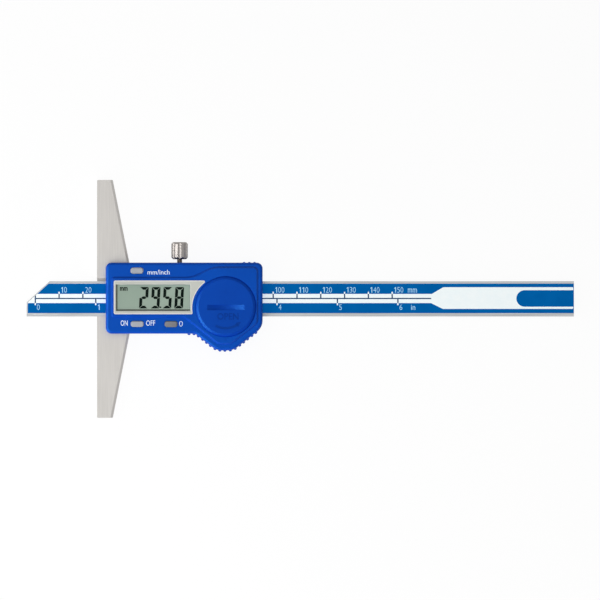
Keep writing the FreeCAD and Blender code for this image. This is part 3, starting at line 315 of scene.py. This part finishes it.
PILL_START = 179.7                  # middle of the pill's round end, along X
PILL_MIDDLE = 0.17
PILL_RADIUS = 3.47
pill = [(FIELD_END, PILL_MIDDLE - PILL_RADIUS), (FIELD_END, PILL_MIDDLE + PILL_RADIUS),
        *arc(PILL_START, PILL_MIDDLE, PILL_RADIUS, 90, 270, steps=16)]
plates("scale_pill", [pill], *OVERPRINT, label_blue, "beam_body", "label_film")


# ---- Scale figures -----------------------------------------------------------------------
# Narrow figures in pale ink beside every centimetre and every inch, with the units' names
# at the rear end of each row.

def letter(shape, text, x0, x1, y0, y1, z0, z1, weight=0.0):
    """Adds text in plain sans letters that fill that box, bolder where its weight is larger."""
    writing = bpy.data.curves.new("writing", "FONT")
    writing.body = text
    writing.extrude = 0.5               # any depth will do, as it is stretched to the box
    writing.offset = weight
    writing.resolution_u = 3            # few steps in a curve this small
    holder = bpy.data.objects.new("writing", writing)
    mesh = bpy.data.meshes.new_from_object(holder)
    points = [v.co for v in mesh.vertices]
    low = Vector([min(p[i] for p in points) for i in range(3)])
    high = Vector([max(p[i] for p in points) for i in range(3)])
    size = high - low
    stretch = Matrix.Diagonal(
        ((x1 - x0) * MM / size.x, (y1 - y0) * MM / size.y, (z1 - z0) * MM / size.z, 1))
    mesh.transform(Matrix.Translation((x0 * MM, y0 * MM, z0 * MM)) @ stretch @ Matrix.Translation(-low))
    shape.from_mesh(mesh)
    bmesh.ops.remove_doubles(shape, verts=shape.verts, dist=NEAR * MM)
    bpy.data.objects.remove(holder)
    bpy.data.curves.remove(writing)
    bpy.data.meshes.remove(mesh)


FIGURE_GAP = 0.7                    # from a tick to its number
ROUND_GAP = 0.3                     # added above, where the number doesn't begin with a 1
FIGURE_WIDTH = 1.15
FIGURE_SPACE = 0.26
FIGURE_WEIGHT = -0.012
MM_ROW = 2.62, 4.94
INCH_ROW = -4.66, -2.36
UNIT_NAMES = {"mm": (130.65, 134.45, 2.62, 4.36), "in": (132.0, 133.75, -4.62, -2.5)}
ONE_LEFT, ONE_RIGHT = 0.6, 0.92     # the sides of the stroke of a 1
FLAG_TIP = 0.2                      # the end of its flag
FLAG_TOP, FLAG_FOOT = 0.42, 0.72    # the flag's end, down from the figure's top
FLAG_ROOT = 0.44                    # where the flag's underside meets the stroke
FLAG_SLANT = 0.05


def number(shape, text, left, low, high):
    """Adds a number's figures one by one. A 1 is an upright stroke with a short flag."""
    for digit in text:
        if digit == "1":
            flag, inner, outer = left + FLAG_TIP, left + ONE_LEFT, left + ONE_RIGHT
            stroke = [(inner, low), (outer, low), (outer, high), (inner + FLAG_SLANT, high),
                      (flag, high - FLAG_TOP), (flag, high - FLAG_FOOT), (inner, high - FLAG_ROOT)]
            raise_plate(shape, stroke, *UNDERPRINT)
        else:
            letter(shape, digit, left, left + FIGURE_WIDTH, low, high, *UNDERPRINT, FIGURE_WEIGHT)
        left += FIGURE_WIDTH + FIGURE_SPACE


figures = bmesh.new()
for i, x in enumerate(mm_ticks, start=1):
    text = str(TEN * i)
    gap = FIGURE_GAP if text[0] == "1" else FIGURE_GAP + ROUND_GAP
    number(figures, text, x + gap, *MM_ROW)
for i, x in enumerate([SCALE_ZERO, *inch_ticks]):
    number(figures, str(i), x + FIGURE_GAP, *INCH_ROW)
for unit, place in UNIT_NAMES.items():
    letter(figures, unit, *place, *UNDERPRINT)
make_piece("scale_figures", figures, figure_ink, "beam_body")


# ---- Electronics -------------------------------------------------------------------------
# The board, in the scale board's laminate, carries the chip, the timing crystal and three
# snap domes, and four small screws hold it in the housing. A spring leaf and a clip touch
# the coin cell, which drops into the well from above.

give(laminate, part["main_board"])
give(screw_steel, part["board_screws"])

chip_black = new_finish("chip_black", 0.55)
tint(chip_black, grain(chip_black, 1500), (26, 26, 28), (38, 38, 40))
relief(chip_black, grain(chip_black, 6000), 0.006)
give(chip_black, part["controller_chip"])

can_steel = new_finish("can_steel", 0.3, metallic=1.0)
tint(can_steel, grain(can_steel, 150), (196, 196, 192), (210, 210, 206))
uneven_gloss(can_steel, grain(can_steel, 1800), 0.22, 0.36)
give(can_steel, part["timing_crystal"], part["battery"])

contact_spring = new_finish("contact_spring", 0.28, metallic=1.0)
tint(contact_spring, grain(contact_spring, 400), (206, 196, 168), (220, 212, 188))
uneven_gloss(contact_spring, grain(contact_spring, 1200, stretch=(0.1, 1, 1)), 0.2, 0.36)
give(contact_spring, part["button_domes"], part["negative_contact"], part["positive_contact"])


# ---- Display -----------------------------------------------------------------------------
# A reflective liquid-crystal panel: two glass plates under a grey-green film that fills the
# opening below the window, a black rubber strip to the board, and dark switched figures.

lcd_ground = new_finish("lcd_glass", 0.42, specular=0.3)
tint(lcd_ground, grain(lcd_ground, 35, detail=1.0), (143, 161, 147), (150, 168, 154))
uneven_gloss(lcd_ground, grain(lcd_ground, 4000), 0.38, 0.5)
give(lcd_ground, part["lcd_panel"])

rubber = new_finish("zebra_rubber", 0.75)
tint(rubber, grain(rubber, 3000, stretch=(1, 0.02, 0.02)), (24, 24, 26), (70, 70, 74))
give(rubber, part["lcd_connector"])

lcd_dark = new_finish("lcd_dark", 0.5, specular=0.05)
tint(lcd_dark, grain(lcd_dark, 600), (2, 14, 10), (6, 20, 15))
uneven_gloss(lcd_dark, grain(lcd_dark, 4000), 0.35, 0.5)

OPENING_LEFT, OPENING_RIGHT = 8.1, 39.1
OPENING_LOW, OPENING_HIGH = -4.9, 6.0   # the housing's opening over the display
FILM_PLAY = 0.05                    # between the film and the opening's walls and window
GLASS_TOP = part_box("lcd_panel")[1].z / MM
FILM_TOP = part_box("display_lens")[0].z / MM - FILM_PLAY
ON_FILM = FILM_TOP - PRINT, FILM_TOP + PRINT
film = rounded_box(OPENING_LEFT + FILM_PLAY, OPENING_RIGHT - FILM_PLAY,
                   OPENING_LOW + FILM_PLAY, OPENING_HIGH - FILM_PLAY)
plates("display_film", [film], GLASS_TOP, FILM_TOP, lcd_ground, "slider", "lcd_glass")

DIGIT_LOW, DIGIT_HIGH = -4.02, 4.98
DIGIT_SPAN = 3.65                   # width of a digit
DIGIT_LEAN = 0.5                    # how far a digit's top stands to the right
DIGIT_LEFTS = {"2": 17.6, "9": 22.55, "5": 27.5, "8": 32.45}
LIT_BARS = {"2": "abged", "9": "abcdfg", "5": "afgcd", "8": "abcdefg"}
BAR = 1.24                          # width of the six bars round the rim
MIDDLE_BAR = 1.12
MIDDLE_TIP = 0.6                    # the middle bar's point, as a share of a rim bar's width
MITRE = 0.1                         # the gap between two bars' mitred ends
DOT = 26.66, -3.5, 0.36             # the decimal point's middle and radius
UNIT_SHOWN = 9.6, 12.85, 3.4, DIGIT_HIGH
UNIT_WEIGHT = 0.04


def bar_outlines(left):
    """The seven bars of one digit, named a to g from the top clockwise, with g in the middle."""
    w, h, t, m = DIGIT_SPAN, DIGIT_HIGH - DIGIT_LOW, BAR, MITRE
    middle, half, tip = h / 2, MIDDLE_BAR / 2, BAR * MIDDLE_TIP
    bars = {
        "a": [(m, h), (t + m / 2, h - t + m), (w - t - m / 2, h - t + m), (w - m, h)],
        "d": [(m, 0), (w - m, 0), (w - t - m / 2, t - m), (t + m / 2, t - m)],
        "f": [(0, h - m), (0, middle + m), (tip, middle + m), (t, middle + half + m), (t, h - t - m)],
        "e": [(0, m), (t, t + m), (t, middle - half - m), (tip, middle - m), (0, middle - m)],
        "g": [(tip, middle), (t + m, middle - half), (w - t - m, middle - half),
              (w - tip, middle), (w - t - m, middle + half), (t + m, middle + half)],
    }
    bars["b"] = [(w - x, y) for x, y in reversed(bars["f"])]
    bars["c"] = [(w - x, y) for x, y in reversed(bars["e"])]
    return {name: [(left + x + DIGIT_LEAN * y / h, DIGIT_LOW + y) for x, y in points]
            for name, points in bars.items()}


reading = bmesh.new()
for digit, left in DIGIT_LEFTS.items():
    outlines = bar_outlines(left)
    for bar in LIT_BARS[digit]:
        raise_plate(reading, outlines[bar], *ON_FILM)
raise_plate(reading, arc(*DOT, 0, 330, steps=11), *ON_FILM)
letter(reading, "mm", *UNIT_SHOWN, *ON_FILM, UNIT_WEIGHT)
make_piece("lcd_reading", reading, lcd_dark, "slider")


# ---- Window ------------------------------------------------------------------------------
# A clear acrylic plate over the display, held down by the bezel. A dark grey line along
# its left and lower sides is painted shadow from the opening's walls.

WIPED = 0.03, 0.09                  # how the gloss varies where the window was wiped
GLARE = 0.05                        # how soon it mirrors the room as it turns edge on
EDGE_SHADOW = 0.46                         # width of the painted shadow line

clear_window = new_finish("clear_window", 0.06)
tree = clear_window.node_tree
gloss = tree.nodes.new("ShaderNodeBsdfGlossy")
wiped = tree.nodes.new("ShaderNodeMapRange")
wiped.inputs["To Min"].default_value = WIPED[0]
wiped.inputs["To Max"].default_value = WIPED[1]
tree.links.new(grain(clear_window, 250, stretch=(0.3, 1, 1)), wiped.inputs["Value"])
tree.links.new(wiped.outputs["Result"], gloss.inputs["Roughness"])
through = tree.nodes.new("ShaderNodeBsdfTransparent")
edge_on = tree.nodes.new("ShaderNodeLayerWeight")
edge_on.inputs["Blend"].default_value = GLARE
pane = tree.nodes.new("ShaderNodeMixShader")
tree.links.new(edge_on.outputs["Facing"], pane.inputs["Fac"])
tree.links.new(through.outputs["BSDF"], pane.inputs[1])
tree.links.new(gloss.outputs["BSDF"], pane.inputs[2])
tree.links.new(pane.outputs["Shader"], tree.nodes["Material Output"].inputs["Surface"])
give(clear_window, part["display_lens"])

# Painted shadow: a dark grey strip on the film along the opening's left and lower walls.
edge_shadow_grey = new_finish("window_edge_shadow", 0.6)
tint(edge_shadow_grey, grain(edge_shadow_grey, 400), (44, 48, 40), (56, 60, 50))
edge_shadow_line = [(OPENING_LEFT, OPENING_LOW), (OPENING_RIGHT, OPENING_LOW),
             (OPENING_RIGHT, OPENING_LOW + EDGE_SHADOW), (OPENING_LEFT + EDGE_SHADOW, OPENING_LOW + EDGE_SHADOW),
             (OPENING_LEFT + EDGE_SHADOW, OPENING_HIGH), (OPENING_LEFT, OPENING_HIGH)]
plates("window_edge_shadow", [edge_shadow_line], *ON_FILM, edge_shadow_grey, "slider", "lcd_glass")


# ---- Bezel -------------------------------------------------------------------------------
# The pale moulded surround that is pressed into its seat. It curves round the battery's
# well, and a paler, glossier ring round its outer edge is painted highlight.

bezel_grey = new_finish("grey_plastic", 0.42, specular=0.3)
tint(bezel_grey, grain(bezel_grey, 90), (187, 189, 182), (194, 196, 189))
uneven_gloss(bezel_grey, grain(bezel_grey, 2500), 0.36, 0.48)
relief(bezel_grey, grain(bezel_grey, 5000), 0.003)
give(bezel_grey, part["display_bezel"])

BEZEL_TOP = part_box("display_bezel")[1].z / MM
RIM = 0.34                          # width of the painted highlight ring
RIM_DEPTH, RIM_PROUD = 0.1, 0.03    # how far it reaches into the bezel and stands out of it
MIDDLE = Vector((23.6, 0.55))       # of the bezel's window
INNER_REACH = 15.9, 5.9             # no corner of that window lies further from its middle
SHARPEST = 0.5                      # keeps a sharp corner from being drawn in too far


def outer_edge(piece, height):
    """The piece's outer corners at that height, counter-clockwise."""
    corners = {(round(v.co.x / MM, 4), round(v.co.y / MM, 4)) for v in piece.data.vertices
               if abs(v.co.z / MM - height) < NEAR}
    outside = [Vector(c) for c in corners
               if abs(c[0] - MIDDLE.x) > INNER_REACH[0] or abs(c[1] - MIDDLE.y) > INNER_REACH[1]]
    return sorted(outside, key=lambda p: math.atan2(p.y - MIDDLE.y, p.x - MIDDLE.x))


def drawn_in(points, inset):
    """The same outline, moved inwards by inset."""
    moved = []
    for before, point, after in zip(points[-1:] + points[:-1], points, points[1:] + points[:1]):
        sides = [(point - before).normalized(), (after - point).normalized()]
        inward = sum((Vector((-side.y, side.x)) for side in sides), Vector((0, 0))).normalized()
        slant = inward.dot(Vector((-sides[0].y, sides[0].x)))
        moved.append(point + inward * inset / max(SHARPEST, slant))
    return moved


def raise_ring(shape, outside, inside, z0, z1):
    """Adds a flat ring between two outlines that have as many points."""
    loops = [[shape.verts.new((x * MM, y * MM, z * MM)) for x, y in points]
             for points, z in ((outside, z0), (outside, z1), (inside, z1), (inside, z0))]
    for first, second in zip(loops, loops[1:] + loops[:1]):
        for i in range(len(first)):
            j = (i + 1) % len(first)
            shape.faces.new((first[i], first[j], second[j], second[i]))


# Painted highlight: a paler ring along the bezel's outer edge.
painted_rim_highlight = new_finish("painted_rim_highlight", 0.3, specular=0.4)
tint(painted_rim_highlight, grain(painted_rim_highlight, 300), (222, 219, 213), (230, 227, 221))
uneven_gloss(painted_rim_highlight, grain(painted_rim_highlight, 3000), 0.25, 0.35)
outside = outer_edge(part["display_bezel"], BEZEL_TOP)
rim = bmesh.new()
raise_ring(rim, outside, drawn_in(outside, RIM), BEZEL_TOP - RIM_DEPTH, BEZEL_TOP + RIM_PROUD)
make_piece("bezel_rim", rim, painted_rim_highlight, "slider")


# ---- Housing -----------------------------------------------------------------------------
# The slider's front is one hollow injection moulding in blue ABS: a raised field round the
# display and battery, a ribbed thumb grip, and a fine spark-eroded grain all over. Four
# countersunk screws hold it from the back, and the buttons' names are printed on its face.

def moulded_blue(name, dark, light):
    """Blue ABS straight from the mould."""
    finish = new_finish(name, 0.4, specular=0.45)
    surface_of(finish)["Specular Tint"].default_value = (0.14, 0.8, 1.0, 1.0)
    tint(finish, grain(finish, 70), dark, light)
    uneven_gloss(finish, grain(finish, 1600), 0.34, 0.46)
    relief(finish, grain(finish, 5200), 0.004)
    return finish


blue_plastic = moulded_blue("blue_plastic", (0, 55, 165), (1, 60, 172))
give(blue_plastic, part["front_housing"])
give(screw_steel, part["housing_screws"])

HOUSING_FACE = 9.6                  # height of the face that the buttons come through
BUTTON_NAMES = {                    # left, right, low, high, and how bold
    "mm/inch": (21.2, 30.5, 10.25, 12.2, 0.004),
    "ON": (9.95, 12.85, -11.3, -9.05, 0.0),
    "OFF": (20.6, 24.4, -11.3, -9.05, 0.0),
    "0": (34.5, 36.0, -11.6, -9.35, -0.018),
}

marking_ink = new_finish("marking_ink", 0.45, specular=0.2)
tint(marking_ink, grain(marking_ink, 300), (230, 242, 250), (238, 248, 254))
uneven_gloss(marking_ink, grain(marking_ink, 3000), 0.4, 0.5)
words = bmesh.new()
for text, (left, right, low, high, weight) in BUTTON_NAMES.items():
    letter(words, text, left, right, low, high, HOUSING_FACE - PRINT, HOUSING_FACE + PRINT, weight)
make_piece("button_words", words, marking_ink, "slider")


# ---- Buttons -----------------------------------------------------------------------------
# Three moulded caps that come up through the housing's face, painted silver, the zero
# button in a darker grey. A thin lip of the housing's plastic closes the gap round each.

button_silver = new_finish("button_grey", 0.35, metallic=0.25, specular=0.4)
tint(button_silver, grain(button_silver, 260), (156, 159, 167), (164, 167, 175))
uneven_gloss(button_silver, grain(button_silver, 3000), 0.3, 0.42)
give(button_silver, part["unit_button"], part["power_button"])

button_dark = new_finish("button_dark", 0.38, metallic=0.25, specular=0.4)
tint(button_dark, grain(button_dark, 260), (114, 113, 117), (123, 122, 126))
uneven_gloss(button_dark, grain(button_dark, 3000), 0.32, 0.45)
give(button_dark, part["zero_button"])

CAP_CORNER = 1.0
CAP_GAP = 0.12                      # between a cap and the lip round it
OPENING_GAP = 0.42                  # from a cap to the wall of the housing's opening
LIP_FOOT, LIP_TOP = 0.5, 0.1        # the lip's two sides, down from the housing's face


def cap_outline(piece, grow):
    """A cap's outline where it stands out of the housing's face, that much larger."""
    proud = [v.co / MM for v in piece.data.vertices if v.co.z / MM > HOUSING_FACE]
    xs, ys = [p.x for p in proud], [p.y for p in proud]
    radii = (CAP_CORNER + grow,) * 4
    return rounded_box(min(xs) - grow, max(xs) + grow, min(ys) - grow, max(ys) + grow, radii)


lips = bmesh.new()
for name in ("unit_button", "power_button", "zero_button"):
    raise_ring(lips, cap_outline(part[name], OPENING_GAP), cap_outline(part[name], CAP_GAP),
               HOUSING_FACE - LIP_FOOT, HOUSING_FACE - LIP_TOP)
make_piece("button_lips", lips, blue_plastic, "slider")


# ---- Battery cover -----------------------------------------------------------------------
# A bayonet cap in the housing's own blue plastic. A coin in its slot turns it to open, and
# the word and the arrow beside the slot are sunk into its face.

cover_blue = moulded_blue("cover_plastic", (0, 46, 158), (1, 51, 165))
give(cover_blue, part["battery_cover"])

COVER_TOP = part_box("battery_cover")[1].z / MM
COVER_AT = [(low + high) / 2 / MM for low, high in zip(*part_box("battery_cover"))][:2]
SUNK = 0.35                         # depth of the word and the arrow
CUT_ABOVE = 1.0                     # how far their cutter stands out of the face
WORD_SIDES = -3.55, 5.35            # the word's box, from the cover's middle
WORD_ROWS = -5.45, -2.65
WORD_WEIGHT = 0.01
ARROW_RADIUS = 9.0
ARROW_WIDTH = 1.0
ARROW_FROM, ARROW_TO = 242.0, 303.0
HEAD_HALF = 1.0                     # half the width of the arrow's head
HEAD_BACK, HEAD_REACH = 1, 12       # degrees from the shaft's end to the head's foot and tip


def signs(name, z0, z1, finish):
    """The word and the curved arrow below the slot, between two heights."""
    x, y = COVER_AT
    shape = bmesh.new()
    letter(shape, "OPEN", *(x + side for side in WORD_SIDES), *(y + row for row in WORD_ROWS),
           z0, z1, WORD_WEIGHT)
    shaft = arc(x, y, ARROW_RADIUS + ARROW_WIDTH / 2, ARROW_FROM, ARROW_TO, steps=14)
    shaft += arc(x, y, ARROW_RADIUS - ARROW_WIDTH / 2, ARROW_TO, ARROW_FROM, steps=14)
    raise_plate(shape, shaft, z0, z1)
    foot, tip = ARROW_TO - HEAD_BACK, ARROW_TO + HEAD_REACH
    head = [arc(x, y, ARROW_RADIUS + out, turn, turn, steps=1)[0]
            for out, turn in ((HEAD_HALF, foot), (0, tip), (-HEAD_HALF, foot))]
    raise_plate(shape, head, z0, z1)
    return make_piece(name, shape, finish, "cover_body")


# Painted shade: a darker blue sheet lies on the floors of the sunk word and arrow.
shaded_blue = moulded_blue("shaded_blue", (1, 36, 138), (2, 41, 145))
signs("cover_sign_floors", COVER_TOP - SUNK - PRINT, COVER_TOP - SUNK + PRINT, shaded_blue)
cover_signs = signs("cover_signs", COVER_TOP - SUNK, COVER_TOP + CUT_ABOVE, cover_blue)
cover_signs.hide_render = True
cover_signs.hide_viewport = True
weld = part["battery_cover"].modifiers.new("weld", "WELD")
weld.merge_threshold = NEAR * MM
sinking = part["battery_cover"].modifiers.new("signs", "BOOLEAN")
sinking.operation = "DIFFERENCE"
sinking.solver = "EXACT"
sinking.use_self = True
sinking.object = cover_signs


# ---- Lock screw --------------------------------------------------------------------------
# A turned steel thumb screw with a fluted head, plated bright. Its neck and lower chamfer
# get painted shade, a darker brown-grey. It presses a short plug of the gib's brass against the gib.

give(gib_brass, part["lock_plug"])

NECK_END = 17.0                     # past the neck and the head's lower chamfer, along Y
bright_plate = new_finish("lock_chrome", 0.4, metallic=1.0)
tint(bright_plate, grain(bright_plate, 90), (156, 151, 147), (175, 170, 166))
tree = bright_plate.node_tree
place = tree.nodes.new("ShaderNodeTexCoord")
along = tree.nodes.new("ShaderNodeSeparateXYZ")
neck_shade_mask = tree.nodes.new("ShaderNodeMath")
neck_shade_mask.operation = "LESS_THAN"
neck_shade_mask.inputs[1].default_value = NECK_END * MM
# Painted shade: below NECK_END the screw turns a darker brown-grey.
painted_neck_shade = tree.nodes.new("ShaderNodeMixRGB")
painted_neck_shade.inputs["Color2"].default_value = screen_colour(112, 105, 98)
plated = surface_of(bright_plate)["Base Color"].links[0].from_socket
tree.links.new(place.outputs["Object"], along.inputs["Vector"])
tree.links.new(along.outputs["Y"], neck_shade_mask.inputs[0])
tree.links.new(neck_shade_mask.outputs["Value"], painted_neck_shade.inputs["Fac"])
tree.links.new(plated, painted_neck_shade.inputs["Color1"])
tree.links.new(painted_neck_shade.outputs["Color"], surface_of(bright_plate)["Base Color"])
uneven_gloss(bright_plate, grain(bright_plate, 1500, stretch=(1, 0.05, 1)), 0.46, 0.58)
give(bright_plate, part["lock_screw"])


# ---- Table -------------------------------------------------------------------------------
# The gauge lies on its back on a pale matt table top, a plain sheet of white laminate. What
# is seen of it, straight or mirrored, is mostly its own even white, with the gauge's shadow.

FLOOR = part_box("slider_frame")[0].z
TABLE_HALF = 3.0                    # half the table's width, in metres
TABLE_GLOW = 0.85                   # the share of its own light in what is seen
table = bmesh.new()
bmesh.ops.create_grid(table, x_segments=1, y_segments=1, size=TABLE_HALF)
mesh = bpy.data.meshes.new("table_top")
table.to_mesh(mesh)
table.free()
table_top = bpy.data.objects.new("table_top", mesh)
table_top.location.z = FLOOR
bpy.context.scene.collection.objects.link(table_top)
pale_table = new_finish("pale_table", 0.9, specular=0.1)
tint(pale_table, grain(pale_table, 8), (250, 250, 250), (252, 252, 252))
give(pale_table, table_top)


def seen_or_mirrored(tree):
    """1 for what the camera sees, straight or in metal or glass, and 0 for light on the pieces."""
    path = tree.nodes.new("ShaderNodeLightPath")
    total = path.outputs["Is Camera Ray"]
    for other in ("Is Glossy Ray", "Is Transmission Ray"):
        either = tree.nodes.new("ShaderNodeMath")
        either.operation = "MAXIMUM"
        tree.links.new(total, either.inputs[0])
        tree.links.new(path.outputs[other], either.inputs[1])
        total = either.outputs[0]
    return total


tree = pale_table.node_tree
white = tree.nodes.new("ShaderNodeEmission")
share = tree.nodes.new("ShaderNodeMath")
share.operation = "MULTIPLY"
share.inputs[1].default_value = TABLE_GLOW
both = tree.nodes.new("ShaderNodeMixShader")
tree.links.new(seen_or_mirrored(tree), share.inputs[0])
tree.links.new(share.outputs[0], both.inputs["Fac"])
tree.links.new(tree.nodes["Principled BSDF"].outputs["BSDF"], both.inputs[1])
tree.links.new(white.outputs["Emission"], both.inputs[2])
tree.links.new(both.outputs["Shader"], tree.nodes["Material Output"].inputs["Surface"])


# ---- Light -------------------------------------------------------------------------------
# A pale studio: an even room, a key lamp and a top lamp with soft shadows, a large lamp far
# to the left that lights the blade evenly, and one that only shines in edges and gloss.

ROOM_LIGHT = 0.385                  # the room's strength on the pieces
ROOM_SEEN = 0.86                    # and as the camera sees it
MIRRORED_LEVEL = 0.6                # and in metal and gloss, from the side
MIRRORED_TOP = 0.92                 # and from above
GAUGE_MIDDLE = Vector((0.085, 0, 0))

sky = bpy.data.worlds.new("studio")
bpy.context.scene.world = sky
sky.use_nodes = True
room = sky.node_tree.nodes["Background"]
room.inputs["Color"].default_value = (1, 1, 1, 1)
tree = sky.node_tree
direction = tree.nodes.new("ShaderNodeTexCoord")
upward = tree.nodes.new("ShaderNodeSeparateXYZ")
tree.links.new(direction.outputs["Generated"], upward.inputs["Vector"])
mirrored = tree.nodes.new("ShaderNodeMapRange")
mirrored.inputs["To Min"].default_value = MIRRORED_LEVEL
mirrored.inputs["To Max"].default_value = MIRRORED_TOP
tree.links.new(upward.outputs["Z"], mirrored.inputs["Value"])
path = tree.nodes.new("ShaderNodeLightPath")
lighting = tree.nodes.new("ShaderNodeMix")
lighting.inputs["A"].default_value = ROOM_LIGHT
tree.links.new(path.outputs["Is Glossy Ray"], lighting.inputs["Factor"])
tree.links.new(mirrored.outputs["Result"], lighting.inputs["B"])
level = tree.nodes.new("ShaderNodeMix")
level.inputs["B"].default_value = ROOM_SEEN
tree.links.new(path.outputs["Is Camera Ray"], level.inputs["Factor"])
tree.links.new(lighting.outputs["Result"], level.inputs["A"])
tree.links.new(level.outputs["Result"], room.inputs["Strength"])


def soft_lamp(name, place, size, watts, lights=True, shines=True, shadow=True):
    """A square lamp towards the gauge's middle. It lights the pieces, shines in them, or both."""
    lamp = bpy.data.lights.new(name, "AREA")
    lamp.size = size
    lamp.energy = watts
    lamp.use_shadow = shadow
    holder = bpy.data.objects.new(name, lamp)
    holder.location = place
    holder.visible_diffuse = lights
    holder.visible_glossy = shines
    aim = GAUGE_MIDDLE - Vector(place)
    holder.rotation_euler = aim.to_track_quat("-Z", "Y").to_euler()
    bpy.context.scene.collection.objects.link(holder)


soft_lamp("key_lamp", (-0.5, -0.4, 0.7), size=0.9, watts=0.8)
soft_lamp("top_lamp", (0.085, 0.0, 1.0), size=0.5, watts=0.8, shines=False)
soft_lamp("side_lamp", (-0.914, -0.756, 0.72), size=0.9, watts=21.5, shines=False, shadow=False)
soft_lamp("edge_lamp", (-0.46, -0.21, 0.53), size=0.6, watts=6.0, lights=False)


# ---- Camera ------------------------------------------------------------------------------
# It looks straight down on the gauge, from far enough away that nothing is foreshortened.

VIEW_WIDTH = 0.2522                 # metres from the left of the frame to the right
VIEW_FROM = 0.0853, -0.00048, 0.5

lens = bpy.data.cameras.new("camera")
lens.type = "ORTHO"
lens.ortho_scale = VIEW_WIDTH
camera = bpy.data.objects.new("camera", lens)
camera.location = VIEW_FROM
bpy.context.scene.collection.objects.link(camera)
bpy.context.scene.camera = camera

bpy.context.scene.view_settings.view_transform = "Standard"
